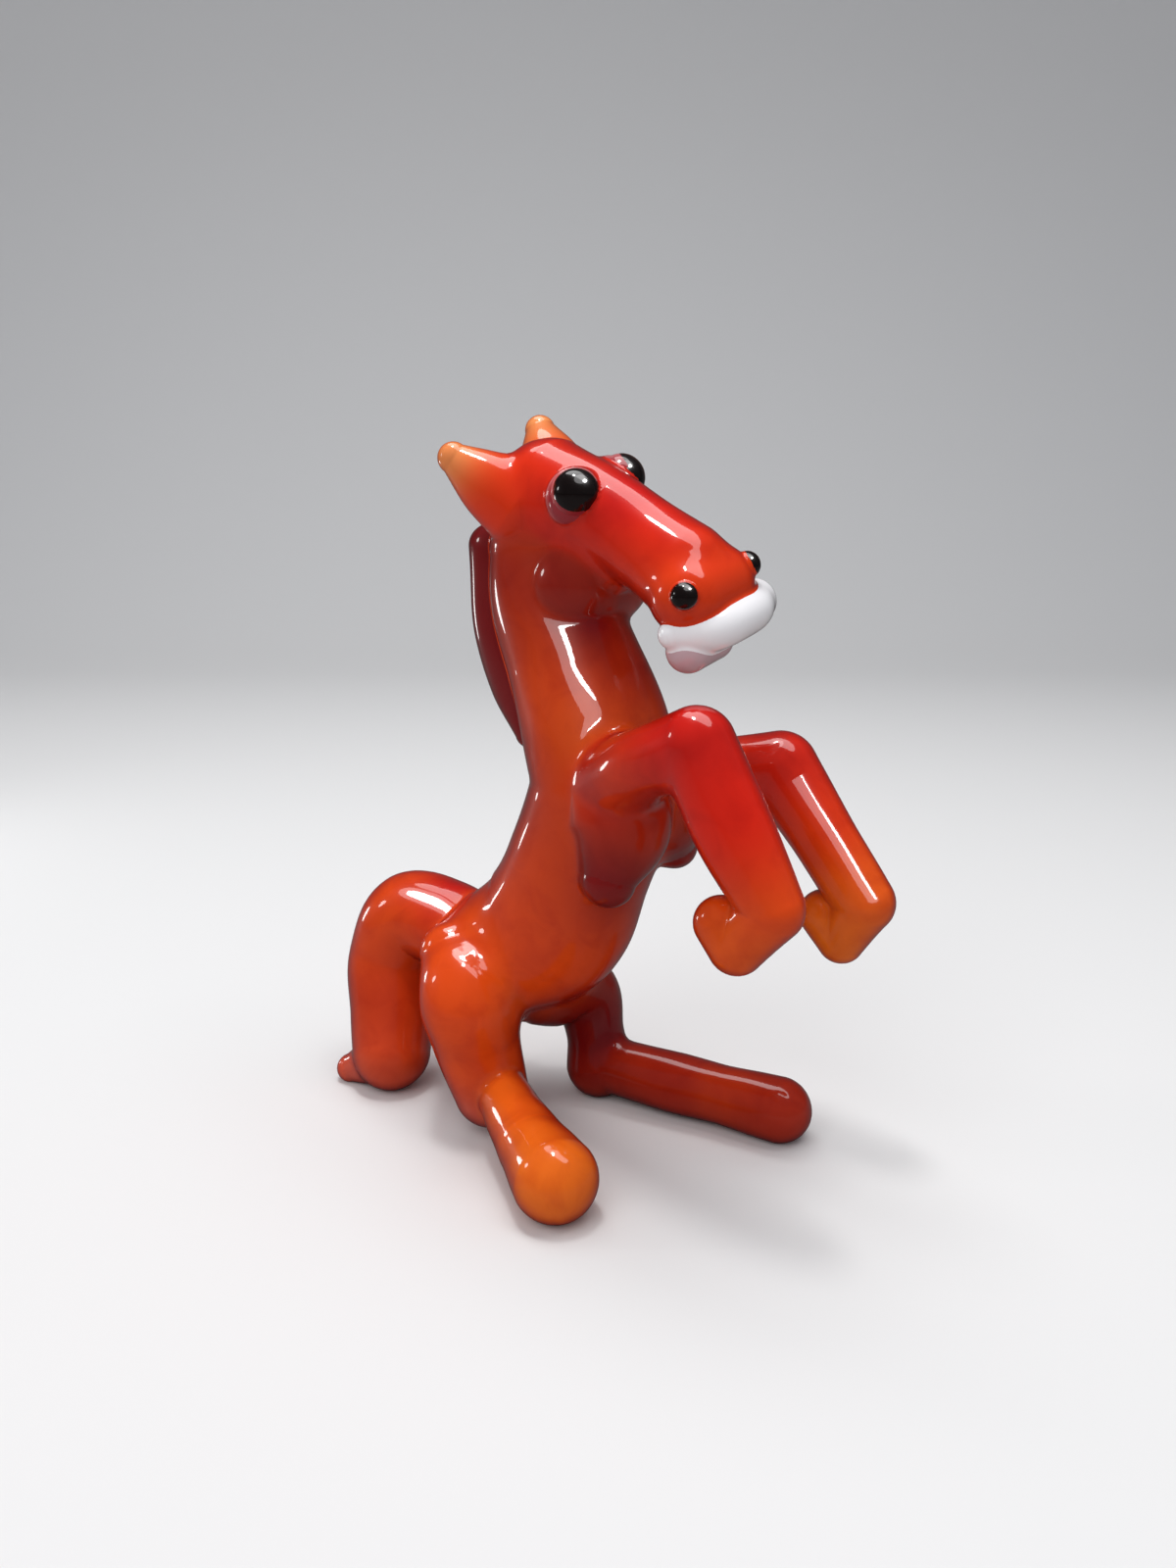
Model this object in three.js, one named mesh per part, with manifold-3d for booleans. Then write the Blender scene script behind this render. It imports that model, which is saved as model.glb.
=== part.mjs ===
// Lampworked glass horse, sitting back on its hind legs with its forelegs raised.
// Millimetres, +Z up, the horse faces +X and its right side is at -Y. The origin is the middle of its footprint.
//
// The horse is drawn from soft glass rods. Each rod end that is melted on is one gather: a round piece of
// glass drawn out along a spine. Every gather here is a capsule bent along its spine, and it is cut by
// the gathers that were on the horse before it, less a thin weld line.

import * as THREE from "three";
import { mergeVertices } from "three/addons/utils/BufferGeometryUtils.js";
import Module from "manifold-3d";

const wasm = await Module();
wasm.setup();

// Driving dimensions

const weldLine = 0.3; // gap left between two gathers
const footFlat = 0.3; // how far a foot is pressed flat on the bench

// Trunk: each station is given from the one before it
const rump = { radius: 6.3, width: 6.2, behindHips: 2.2, aboveHips: 0.6 };
const loin = { radius: 7.8, width: 6.8, forward: 7.6, up: 4.7 };
const barrel = { radius: 7.3, width: 6.8, forward: 3.7, up: 7.4 };
const chest = { radius: 7.2, width: 7.0, forward: 3.0, up: 7.9 };

// Neck, from the chest to the poll
const neckBase = { radius: 7.4, width: 6.4, forward: -1.4, up: 5.6 };
const neckMiddle = { radius: 6.8, width: 5.4, forward: -2.6, up: 6.4 };
const throat = { radius: 6.1, width: 4.9, forward: -2.6, up: 5.6 };
const poll = { radius: 5.0, width: 4.6, forward: -1.0, up: 4.8 };

// Head, in its own frame: along the nose, to its left side, and up from the skull's centre
const headTurn = 8; // degrees to its right
const headRoll = 13; // degrees, left side up
const skull = { radius: 5.4, width: 5.3, forward: 1.4, up: 4.6 };
const brow = { radius: 4.4, width: 4.4, along: 5.6, above: -1.4 };
const nose = { radius: 4.1, width: 4.2, along: 10.8, above: -4.1 };
const bridge = { radius: 4.2, width: 4.6, along: 14.4, above: -6.1 };
const muzzle = { radius: 3.45, width: 5.5, along: 16.6, above: -7.8, right: 0.25 };
const jaw = { radius: 4.9, halfSpan: 1.5, along: 3.2, above: -7.7 };

// Lips, nostrils and eyes
const upperLip = { radius: 2.1, halfSpan: 5.1, forward: 2.5, drop: 2.6, leftBack: 1.1 };
const lipCorner = { radius: 1.3, back: 2.4, rise: 0.1 };
const lipSwell = { radius: 2.0, back: 0.3, out: 2.6 };
const lowerLip = { radius: 2.0, halfSpan: 1.7, forward: 0.6, drop: 4.3, right: 2.2 };
const nostril = { radius: 1.25, proud: 0.9, rightOut: 2.4, leftOut: 1.5, above: 0.9, forward: 1.6 };
const eyeBase = { radius: 2.8, proud: 1.4 };
const eyeRight = { angle: 54, station: 0.32 };
const eyeLeft = { angle: 64, station: 0.28 };
const pupil = { radius: 2.2, proud: 0.5, above: 0.1, forward: 0.7 };

// Ears, from the skull
const ear = { radius: 3.8, middleRadius: 3.0, tipRadius: 1.5, back: 1.9, out: 3.0, above: 0.2 };
const earReach = { back: 4.0, out: 2.9, above: 4.8 };

// Mane, a flat strip on the crest of the neck
const mane = { height: 2.9, thickness: 1.7, proud: 3.5, lowHeight: 1.4, lowProud: 1.7, topRise: 1.4 };

// Tail, each station from the one before it
const tailRoot = { radius: 4.7, behind: 6.1, up: 1.9 };
const tailArch = { radius: 4.9, behind: 5.0, drop: 0.2, right: 0.4 };
const tailFall = { radius: 4.8, behind: 2.0, drop: 5.0, right: 1.0 };
const tailEnd = { radius: 4.6, forward: 1.6, drop: 5.2, right: 2.0 };
const tailFoot = { radius: 4.2, forward: 1.4, right: 1.9 };
const tailTip = { radius: 1.6, behind: 4.6, right: 1.6, rootRadius: 3.4, rootDrop: 0.7 };

// Hind legs, each standing on its hoof: the hip, thigh and stifle are given from the knee, and lift is
// how far the knee is off the ground. The shank starts a little forward of the knee, and its other two
// stations are shares of the way from knee to hoof.
const hind = {
  right: {
    knee: { x: -2.2, out: 6.9, radius: 3.8, lift: 0.9 },
    stifle: { back: 1.1, out: 0.6, rise: 4.7, radius: 4.3 },
    thigh: { back: 1.9, out: 1.2, rise: 10.0, radius: 4.8 },
    hip: { back: 5.6, out: -0.8, rise: 13.4, radius: 3.1 },
    shank: { forward: 0.6, rise: 1.3, radius: 2.4 },
    calf: { at: 0.4, rise: 0.7, radius: 2.9 },
    ankle: { at: 0.7, rise: 0.2, radius: 3.4 },
    hoof: { reach: 14.4, out: 9.1, radius: 4.0 },
  },
  left: {
    knee: { x: 2.4, out: 6.0, radius: 3.5, lift: 0 },
    stifle: { back: 0.8, out: 0.4, rise: 3.6, radius: 3.1 },
    thigh: { back: 2.0, out: 0.4, rise: 7.2, radius: 3.9 },
    hip: { back: 4.5, out: -2.8, rise: 9.8, radius: 5.2 },
    shank: { forward: 0.6, rise: 0.3, radius: 2.9 },
    calf: { at: 0.38, rise: 0.1, radius: 3.1 },
    ankle: { at: 0.7, rise: 0.1, radius: 3.0 },
    hoof: { reach: 20.4, out: 2.0, radius: 3.3 },
  },
};

// Forelegs, from the chest's centre
const fore = {
  right: {
    lobe: { forward: 3.8, out: 5.4, up: -7.3, radius: 2.6 },
    shoulder: { forward: 4.1, out: 3.8, up: -3.0, radius: 4.6 },
    root: { forward: 2.9, out: 3.0, up: 1.0, radius: 4.6 },
    elbow: { forward: 8.8, out: 7.6, up: 4.8, radius: 3.2 },
    knee: { forward: 14.8, out: 9.0, up: 7.5, radius: 3.3 },
    shin: { forward: 18.1, out: 9.0, up: 1.2, radius: 3.4 },
    fetlock: { forward: 22.2, out: 9.0, up: -5.4, radius: 2.75 },
    hoof: { forward: 19.0, out: 9.0, up: -9.3, radius: 2.5 },
    toe: { forward: 17.5, out: 9.0, up: -7.5, radius: 2.4 },
  },
  left: {
    lobe: { forward: 4.4, out: 5.6, up: -6.6, radius: 2.3 },
    shoulder: { forward: 4.0, out: 3.8, up: -3.2, radius: 4.2 },
    root: { forward: 2.9, out: 3.0, up: -0.4, radius: 4.6 },
    elbow: { forward: 8.6, out: 6.8, up: 1.2, radius: 3.3 },
    knee: { forward: 14.4, out: 8.0, up: 2.1, radius: 3.6 },
    shin: { forward: 19.0, out: 8.0, up: -3.7, radius: 3.1 },
    fetlock: { forward: 23.4, out: 8.0, up: -9.5, radius: 2.9 },
    hoof: { forward: 21.3, out: 8.0, up: -13.6, radius: 2.3 },
    toe: { forward: 19.5, out: 8.0, up: -11.4, radius: 2.4 },
  },
};

// Colours of the glass
const glass = {
  flame: { color: 0xd8411a, roughness: 0.06 },
  ear: { color: 0xee6a2c, roughness: 0.06 },
  wine: { color: 0x6e1a1c, roughness: 0.06 },
  white: { color: 0xf2f0f0, roughness: 0.1 },
  milk: { color: 0xd9bcc0, roughness: 0.08 },
  casing: { color: 0xc98a8a, roughness: 0.05 },
  black: { color: 0x120807, roughness: 0.04 },
};

// Mesh fineness
const facet = 2.2; // width of a face on a thick gather
const fewestSides = 12;
const mostSides = 22;
const closeness = 0.02; // corners nearer than this to a flat skin are dropped after a cut
const benchWidth = 200;
const benchThickness = 20;

const left = new THREE.Vector3(0, 1, 0);
const up = new THREE.Vector3(0, 0, 1);
const radians = THREE.MathUtils.degToRad;

// A station on a spine: its centre, its radius, and its half width along the side axis
function station(centre, radius, width = radius) {
  return { centre, radius, width };
}

function moved(centre, x, y, z) {
  return centre.clone().add(new THREE.Vector3(x, y, z));
}

// A gather of glass along a spine. side is the direction in which its width is measured.
class Gather {
  constructor(stations, side = left) {
    this.side = side;
    this.start = stations[0].centre;
    this.line = new THREE.CatmullRomCurve3(stations.map((s) => s.centre));
    this.girth = new THREE.CatmullRomCurve3(
      stations.map((s) => new THREE.Vector3(s.radius, s.width, 0)),
      false,
      "catmullrom",
      0.5,
    );
  }

  // Centre, axes and half sizes of the section at a share of the spine's length
  section(share) {
    const t = this.line.getUtoTmapping(THREE.MathUtils.clamp(share, 0, 1));
    const along = this.line.getTangent(t).normalize();
    const across = this.side.clone().addScaledVector(along, -this.side.dot(along)).normalize();
    const outer = along.clone().cross(across);
    const girth = this.girth.getPoint(t);
    return { centre: this.line.getPoint(t), along, across, outer, radius: girth.x, width: girth.y };
  }

  // A point of the skin, and the way out of it, at a share of the length and an angle from the section's
  // outer axis towards its side
  skin(share, angle) {
    const { centre, across, outer, radius, width } = this.section(share);
    const turn = radians(angle);
    const point = centre
      .clone()
      .addScaledVector(outer, radius * Math.cos(turn))
      .addScaledVector(across, width * Math.sin(turn));
    const out = outer
      .clone()
      .multiplyScalar(Math.cos(turn) / radius)
      .addScaledVector(across, Math.sin(turn) / width)
      .normalize();
    return { point, out };
  }

  // The gather as a solid, with its skin moved out by grow
  solid(grow = 0) {
    const length = this.line.getLength();
    const thickness = Math.max(...this.girth.points.map((g) => g.x));
    const sides = THREE.MathUtils.clamp(2 * Math.round((Math.PI * thickness) / facet), fewestSides, mostSides);
    const row = (2 * Math.PI * thickness) / sides;
    const rows = Math.max(1, Math.round(length / row));
    const capsule = new THREE.CapsuleGeometry(1, length, Math.round(sides / 4), sides, rows);
    const position = capsule.getAttribute("position");
    const p = new THREE.Vector3();
    for (let i = 0; i < position.count; i++) {
      p.fromBufferAttribute(position, i);
      const inside = THREE.MathUtils.clamp(p.y, -length / 2, length / 2);
      const { centre, along, across, outer, radius, width } = this.section(inside / length + 0.5);
      const beyond = (p.y - inside) * ((radius + width) / 2 + grow);
      centre
        .addScaledVector(along, beyond)
        .addScaledVector(outer, p.x * (radius + grow))
        .addScaledVector(across, p.z * (width + grow));
      position.setXYZ(i, centre.x, centre.y, centre.z);
    }
    return solidFrom(capsule);
  }
}

// A closed three.js geometry as a manifold solid. A capsule's pole rows leave faces of no area, which are dropped.
function solidFrom(geometry) {
  geometry.deleteAttribute("normal");
  geometry.deleteAttribute("uv");
  const merged = mergeVertices(geometry, 1e-4);
  const triVerts = [];
  for (let i = 0; i < merged.index.count; i += 3) {
    const corners = merged.index.array.slice(i, i + 3);
    if (new Set(corners).size === 3) triVerts.push(...corners);
  }
  return new wasm.Manifold(
    new wasm.Mesh({
      numProp: 3,
      vertProperties: merged.getAttribute("position").array,
      triVerts: new Uint32Array(triVerts),
    }),
  );
}

// Where each piece goes

// A leg's stations, each given from a base point. toSide is 1 on the left and -1 on the right.
function placed(base, toSide, size) {
  const forward = size.forward ?? -size.back;
  const up = size.up ?? size.rise;
  return moved(base, forward, toSide * size.out, up);
}

// Hind legs
function hindLeg(size, toSide) {
  const { knee, stifle, thigh, hip, shank, calf, ankle, hoof } = size;
  const kneeAt = new THREE.Vector3(knee.x, toSide * knee.out, knee.radius + knee.lift - footFlat);
  const hipAt = placed(kneeAt, toSide, hip);
  const hoofAt = new THREE.Vector3(knee.x + hoof.reach, toSide * (knee.out + hoof.out), hoof.radius - footFlat);
  const shankStart = station(moved(kneeAt, shank.forward, 0, shank.rise), shank.radius);
  const below = (part) => station(moved(kneeAt.clone().lerp(hoofAt, part.at), 0, 0, part.rise), part.radius);
  return {
    hipAt,
    thigh: new Gather([
      station(hipAt, hip.radius),
      station(placed(kneeAt, toSide, thigh), thigh.radius),
      station(placed(kneeAt, toSide, stifle), stifle.radius),
      station(kneeAt, knee.radius),
    ]),
    shank: new Gather([shankStart, below(calf), below(ankle)]),
    hoof: new Gather([below(ankle), station(hoofAt, hoof.radius)]),
  };
}
const hindRight = hindLeg(hind.right, -1);
const hindLeft = hindLeg(hind.left, 1);

// Trunk
const hips = hindRight.hipAt.clone().lerp(hindLeft.hipAt, 0.5).setY(0);
const rumpAt = moved(hips, -rump.behindHips, 0, rump.aboveHips);
const loinAt = moved(rumpAt, loin.forward, 0, loin.up);
const barrelAt = moved(loinAt, barrel.forward, 0, barrel.up);
const chestAt = moved(barrelAt, chest.forward, 0, chest.up);
const torso = new Gather([
  station(rumpAt, rump.radius, rump.width),
  station(loinAt, loin.radius, loin.width),
  station(barrelAt, barrel.radius, barrel.width),
  station(chestAt, chest.radius, chest.width),
]);

// Neck
const neckBaseAt = moved(chestAt, neckBase.forward, 0, neckBase.up);
const neckMiddleAt = moved(neckBaseAt, neckMiddle.forward, 0, neckMiddle.up);
const throatAt = moved(neckMiddleAt, throat.forward, 0, throat.up);
const pollAt = moved(throatAt, poll.forward, 0, poll.up);
const neck = new Gather([
  station(chestAt, chest.radius, chest.width),
  station(neckBaseAt, neckBase.radius, neckBase.width),
  station(neckMiddleAt, neckMiddle.radius, neckMiddle.width),
  station(throatAt, throat.radius, throat.width),
  station(pollAt, poll.radius, poll.width),
]);

// Head
const skullAt = moved(pollAt, skull.forward, 0, skull.up);
const headPose = new THREE.Matrix4()
  .makeRotationZ(-radians(headTurn))
  .multiply(new THREE.Matrix4().makeRotationX(radians(headRoll)));
const headSide = left.clone().transformDirection(headPose);
function onHead(along, toLeft, above) {
  return new THREE.Vector3(along, toLeft, above).applyMatrix4(headPose).add(skullAt);
}
const head = new Gather(
  [
    station(skullAt, skull.radius, skull.width),
    station(onHead(brow.along, 0, brow.above), brow.radius, brow.width),
    station(onHead(nose.along, 0, nose.above), nose.radius, nose.width),
    station(onHead(bridge.along, 0, bridge.above), bridge.radius, bridge.width),
  ],
  headSide,
);

// A gather laid across the head from its right side to its left
function acrossHead(along, above, radius, halfSpan, toLeft = 0) {
  const from = onHead(along, toLeft - halfSpan, above);
  const to = onHead(along, toLeft + halfSpan, above);
  return new Gather([station(from, radius), station(to, radius)], up);
}
const jawPiece = acrossHead(jaw.along, jaw.above, jaw.radius, jaw.halfSpan);
const muzzleHalfSpan = muzzle.width - muzzle.radius;
const muzzlePiece = acrossHead(muzzle.along, muzzle.above, muzzle.radius, muzzleHalfSpan, -muzzle.right);

// The upper lip swells from its right corner round the front of the muzzle
const lipAlong = muzzle.along + upperLip.forward;
const lipAbove = muzzle.above - upperLip.drop;
const upperLipPiece = new Gather(
  [
    station(onHead(lipAlong - lipCorner.back, -upperLip.halfSpan, lipAbove + lipCorner.rise), lipCorner.radius),
    station(onHead(lipAlong - lipSwell.back, -lipSwell.out, lipAbove), lipSwell.radius),
    station(onHead(lipAlong, upperLip.halfSpan - lipSwell.out, lipAbove), upperLip.radius),
    station(onHead(lipAlong - upperLip.leftBack, upperLip.halfSpan, lipAbove), upperLip.radius),
  ],
  up,
);
const lowerLipPiece = acrossHead(
  muzzle.along + lowerLip.forward,
  muzzle.above - lowerLip.drop,
  lowerLip.radius,
  lowerLip.halfSpan,
  -lowerLip.right,
);

// A round dot of glass that stands proud of a point of the skin
function dot(point, out, radius, proud) {
  const centre = point.clone().addScaledVector(out, proud - radius);
  const sunk = centre.clone().addScaledVector(out, -weldLine);
  return new Gather([station(sunk, radius), station(centre, radius)], up);
}

function face(toSide) {
  const isLeft = toSide > 0;
  const { angle, station: share } = isLeft ? eyeLeft : eyeRight;
  const eye = head.skin(share, toSide * angle);
  const pupilPoint = eye.point.clone().add(onHead(pupil.forward, 0, pupil.above).sub(skullAt));
  const muzzleEndLeft = toSide * muzzleHalfSpan - muzzle.right;
  const muzzleEnd = onHead(muzzle.along, muzzleEndLeft, muzzle.above);
  const nostrilOut = onHead(
    muzzle.along + nostril.forward,
    muzzleEndLeft + toSide * (isLeft ? nostril.leftOut : nostril.rightOut),
    muzzle.above + nostril.above,
  )
    .sub(muzzleEnd)
    .normalize();
  const nostrilSkin = muzzleEnd.addScaledVector(nostrilOut, muzzle.radius);
  return {
    base: dot(eye.point, eye.out, eyeBase.radius, eyeBase.proud),
    pupil: dot(pupilPoint, eye.out, pupil.radius, eyeBase.proud + pupil.proud),
    nostril: dot(nostrilSkin, nostrilOut, nostril.radius, nostril.proud),
  };
}
const faceRight = face(-1);
const faceLeft = face(1);

function earPiece(toSide) {
  const base = onHead(-ear.back, toSide * ear.out, ear.above);
  const tip = onHead(
    -ear.back - earReach.back,
    toSide * (ear.out + earReach.out),
    ear.above + earReach.above,
  );
  return new Gather([
    station(base, ear.radius),
    station(base.clone().lerp(tip, 0.5), ear.middleRadius),
    station(tip, ear.tipRadius),
  ]);
}

// Mane along the crest
function crest(share, height, proud, rise = 0) {
  const { point, out } = neck.skin(share, 0);
  return station(moved(point.addScaledVector(out, proud - height), 0, 0, rise), height, mane.thickness);
}
const manePiece = new Gather([
  crest(0.3, mane.lowHeight, mane.lowProud),
  crest(0.52, mane.height, mane.proud),
  crest(0.76, mane.height, mane.proud),
  crest(0.98, mane.height, mane.proud, mane.topRise),
]);

// Tail
const tailRootAt = moved(rumpAt, -tailRoot.behind, 0, tailRoot.up);
const tailArchAt = moved(tailRootAt, -tailArch.behind, -tailArch.right, -tailArch.drop);
const tailFallAt = moved(tailArchAt, -tailFall.behind, -tailFall.right, -tailFall.drop);
const tailEndAt = moved(tailFallAt, tailEnd.forward, -tailEnd.right, -tailEnd.drop);
const tailFootAt = moved(tailEndAt, tailFoot.forward, -tailFoot.right, 0).setZ(tailFoot.radius - footFlat);
const tailTipAt = moved(tailFootAt, -tailTip.behind, -tailTip.right, 0).setZ(tailTip.radius - footFlat);
const tail = new Gather([
  station(rumpAt, tailRoot.radius),
  station(tailRootAt, tailRoot.radius),
  station(tailArchAt, tailArch.radius),
  station(tailFallAt, tailFall.radius),
  station(tailEndAt, tailEnd.radius),
  station(tailFootAt, tailFoot.radius),
]);
const tailFlick = new Gather([
  station(moved(tailFootAt, 0, 0, -tailTip.rootDrop), tailTip.rootRadius),
  station(tailTipAt, tailTip.radius),
]);

// Forelegs
function foreLeg(size, toSide) {
  const at = Object.fromEntries(
    Object.entries(size).map(([name, part]) => [name, station(placed(chestAt, toSide, part), part.radius)]),
  );
  return {
    arm: new Gather([at.root, at.elbow, at.knee]),
    shoulder: new Gather([at.root, at.shoulder, at.lobe]),
    leg: new Gather([at.knee, at.shin, at.fetlock]),
    heel: new Gather([at.fetlock, at.hoof]),
    toe: new Gather([at.hoof, at.toe]),
  };
}
const foreRight = foreLeg(fore.right, -1);
const foreLeft = foreLeg(fore.left, 1);

// The scene: the head is turned on the neck, and the limbs hang from the hips and the chest
const horse = new THREE.Group();
const trunk = new THREE.Group();
const headGroup = new THREE.Group();
const hindquarters = new THREE.Group();
const forequarters = new THREE.Group();
headGroup.position.copy(skullAt);
headGroup.quaternion.setFromRotationMatrix(headPose);
hindquarters.position.copy(hips);
forequarters.position.copy(chestAt);
horse.add(trunk, headGroup, hindquarters, forequarters);

// Every piece in the order in which it is melted on: its name, its gathers, its glass and its group
const pieces = [
  ["torso", [torso], glass.flame, trunk],
  ["neck", [neck], glass.flame, trunk],
  ["head", [head], glass.flame, headGroup],
  ["jaw", [jawPiece], glass.flame, headGroup],
  ["muzzle", [muzzlePiece], glass.flame, headGroup],
  ["upper_lip", [upperLipPiece], glass.white, headGroup],
  ["lower_lip", [lowerLipPiece], glass.milk, headGroup],
  ["eye_base_right", [faceRight.base], glass.casing, headGroup],
  ["eye_base_left", [faceLeft.base], glass.casing, headGroup],
  ["pupil_right", [faceRight.pupil], glass.black, headGroup],
  ["pupil_left", [faceLeft.pupil], glass.black, headGroup],
  ["nostril_right", [faceRight.nostril], glass.black, headGroup],
  ["nostril_left", [faceLeft.nostril], glass.black, headGroup],
  ["ear_right", [earPiece(-1)], glass.ear, headGroup],
  ["ear_left", [earPiece(1)], glass.ear, headGroup],
  ["mane", [manePiece], glass.wine, trunk],
  ["thigh_right", [hindRight.thigh], glass.flame, hindquarters],
  ["thigh_left", [hindLeft.thigh], glass.flame, hindquarters],
  ["shank_right", [hindRight.shank], glass.flame, hindquarters],
  ["shank_left", [hindLeft.shank], glass.flame, hindquarters],
  ["hind_hoof_right", [hindRight.hoof], glass.flame, hindquarters],
  ["hind_hoof_left", [hindLeft.hoof], glass.flame, hindquarters],
  ["tail", [tail, tailFlick], glass.flame, trunk],
  ["upper_arm_right", [foreRight.arm, foreRight.shoulder], glass.flame, forequarters],
  ["upper_arm_left", [foreLeft.arm, foreLeft.shoulder], glass.flame, forequarters],
  ["foreleg_right", [foreRight.leg], glass.flame, forequarters],
  ["foreleg_left", [foreLeft.leg], glass.flame, forequarters],
  ["fore_hoof_right", [foreRight.heel, foreRight.toe], glass.flame, forequarters],
  ["fore_hoof_left", [foreLeft.heel, foreLeft.toe], glass.flame, forequarters],
];

// The bench top, which flattens whatever is pressed on it
const bench = solidFrom(
  new THREE.BoxGeometry(benchWidth, benchWidth, benchThickness).translate(0, 0, -benchThickness / 2),
);

function joined(gathers, grow) {
  return gathers.map((gather) => gather.solid(grow)).reduce((a, b) => a.add(b));
}

function largest(solid) {
  return solid.decompose().reduce((a, b) => (b.volume() > a.volume() ? b : a));
}

// Hangs a solid in its group, with the mesh's own origin where its spine starts
function hang(name, solid, finish, group, start) {
  const { vertProperties, triVerts } = solid.getMesh();
  const geometry = new THREE.BufferGeometry();
  geometry.setAttribute("position", new THREE.BufferAttribute(new Float32Array(vertProperties), 3));
  geometry.setIndex(new THREE.BufferAttribute(new Uint32Array(triVerts), 1));
  const mesh = new THREE.Mesh(geometry, new THREE.MeshStandardMaterial({ ...finish, metalness: 0 }));
  mesh.name = name;
  mesh.position.copy(group.worldToLocal(start.clone()));
  group.add(mesh);
  mesh.updateWorldMatrix(true, false);
  geometry.applyMatrix4(mesh.matrixWorld.clone().invert());
  geometry.computeVertexNormals();
}

horse.updateMatrixWorld(true);
const cutters = [bench];
for (const [name, gathers, finish, group] of pieces) {
  const cut = cutters.reduce((solid, cutter) => solid.subtract(cutter), joined(gathers, 0));
  hang(name, largest(cut).simplify(closeness), finish, group, gathers[0].start);
  cutters.push(joined(gathers, weldLine));
}

const box = new THREE.Box3().setFromObject(horse);
horse.position.set(-(box.min.x + box.max.x) / 2, -(box.min.y + box.max.y) / 2, 0);
export default horse;
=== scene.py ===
# %% [markdown]
# # A lampworked glass horse
# The horse is drawn at a torch from soft glass rods. Each rod end that is melted on is one gather, and
# where two gathers meet the glass flows into a smooth hollow. Sculpted as one mesh it would lose its
# pieces. So each gather gets its own closed mesh, and one rule of melting keeps their common skin smooth.

# %% Load the frame
import math

import bmesh
import bpy
import numpy as np
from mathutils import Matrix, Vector


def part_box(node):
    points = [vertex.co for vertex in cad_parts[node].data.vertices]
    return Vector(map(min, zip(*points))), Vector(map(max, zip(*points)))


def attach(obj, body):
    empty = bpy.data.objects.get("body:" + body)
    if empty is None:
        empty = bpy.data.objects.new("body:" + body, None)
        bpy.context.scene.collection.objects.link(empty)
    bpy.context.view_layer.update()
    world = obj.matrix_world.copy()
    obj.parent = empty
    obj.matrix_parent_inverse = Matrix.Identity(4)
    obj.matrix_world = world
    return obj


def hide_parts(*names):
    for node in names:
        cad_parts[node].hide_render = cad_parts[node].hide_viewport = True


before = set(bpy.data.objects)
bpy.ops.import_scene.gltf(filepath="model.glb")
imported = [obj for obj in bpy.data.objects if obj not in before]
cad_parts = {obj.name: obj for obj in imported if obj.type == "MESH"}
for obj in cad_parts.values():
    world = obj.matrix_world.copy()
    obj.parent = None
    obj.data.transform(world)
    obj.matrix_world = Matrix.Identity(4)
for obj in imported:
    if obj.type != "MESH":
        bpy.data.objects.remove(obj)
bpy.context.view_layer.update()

print("nodes in the frame:", len(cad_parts))

# %% [markdown]
# ## The sizes
# Everything is in millimetres, with the horse facing +X and its left side at +Y. Each station of a spine
# is given from the one before it, so a longer neck carries the head along. These are the sizes that the
# solids were drawn to.

# %% Sizes of the trunk and the neck
MM = 0.001  # metres in a millimetre
FOOT_FLAT = 0.3  # how far a foot is pressed flat

rump = dict(radius=6.3, width=6.2, behind_hips=2.2, above_hips=0.6)
loin = dict(radius=7.8, width=6.8, forward=7.6, up=4.7)
barrel = dict(radius=7.3, width=6.8, forward=3.7, up=7.4)
chest = dict(radius=7.2, width=7.0, forward=3.0, up=7.9)

neck_base = dict(radius=7.4, width=6.4, forward=-1.4, up=5.6)
neck_middle = dict(radius=6.8, width=5.4, forward=-2.6, up=6.4)
throat = dict(radius=6.1, width=4.9, forward=-2.6, up=5.6)
poll = dict(radius=5.0, width=4.6, forward=-1.0, up=4.8)

TRUNK = (rump, loin, barrel, chest)
NECK = (neck_base, neck_middle, throat, poll)
print("stations from rump to poll:", len(TRUNK + NECK))

# %% Sizes of the head, in its own frame: along the nose, to its left, and above the skull's centre
HEAD_TURN = 8.0  # degrees to its right
HEAD_ROLL = 13.0  # degrees, left side up
skull = dict(radius=5.4, width=5.3, forward=1.4, up=4.6)
brow = dict(radius=4.4, width=4.4, along=5.6, above=-1.4)
nose = dict(radius=4.1, width=4.2, along=10.8, above=-4.1)
bridge = dict(radius=4.2, width=4.6, along=14.4, above=-6.1)
muzzle = dict(radius=3.45, width=5.5, along=16.6, above=-7.8, right=0.25)
jaw = dict(radius=4.9, half_span=1.5, along=3.2, above=-7.7)

upper_lip = dict(radius=2.1, half_span=5.1, forward=2.5, drop=2.6, left_back=1.1)
lip_corner = dict(radius=1.3, back=2.4, rise=0.1)
lip_swell = dict(radius=2.0, back=0.3, out=2.6)
lower_lip = dict(radius=2.0, half_span=1.7, forward=0.6, drop=4.3, right=2.2)
nostril = dict(radius=1.25, proud=0.9, right_out=2.4, left_out=1.5, above=0.9, forward=1.6)
eye_base = dict(radius=2.8, proud=1.4)
eye_right = dict(angle=54.0, station=0.32)
eye_left = dict(angle=64.0, station=0.28)
pupil = dict(radius=2.2, proud=0.5, above=0.1, forward=0.7)
ear = dict(radius=3.8, middle_radius=3.0, tip_radius=1.5, back=1.9, out=3.0, above=0.2)
ear_reach = dict(back=4.0, out=2.9, above=4.8)
mane = dict(height=2.9, thickness=1.7, proud=3.5, low_height=1.4, low_proud=1.7, top_rise=1.4)
MANE_AT = (0.3, 0.52, 0.76, 0.98)  # where its stations stand, as shares of the neck
print("from the skull's centre to the muzzle, in mm:", muzzle["along"])

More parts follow.
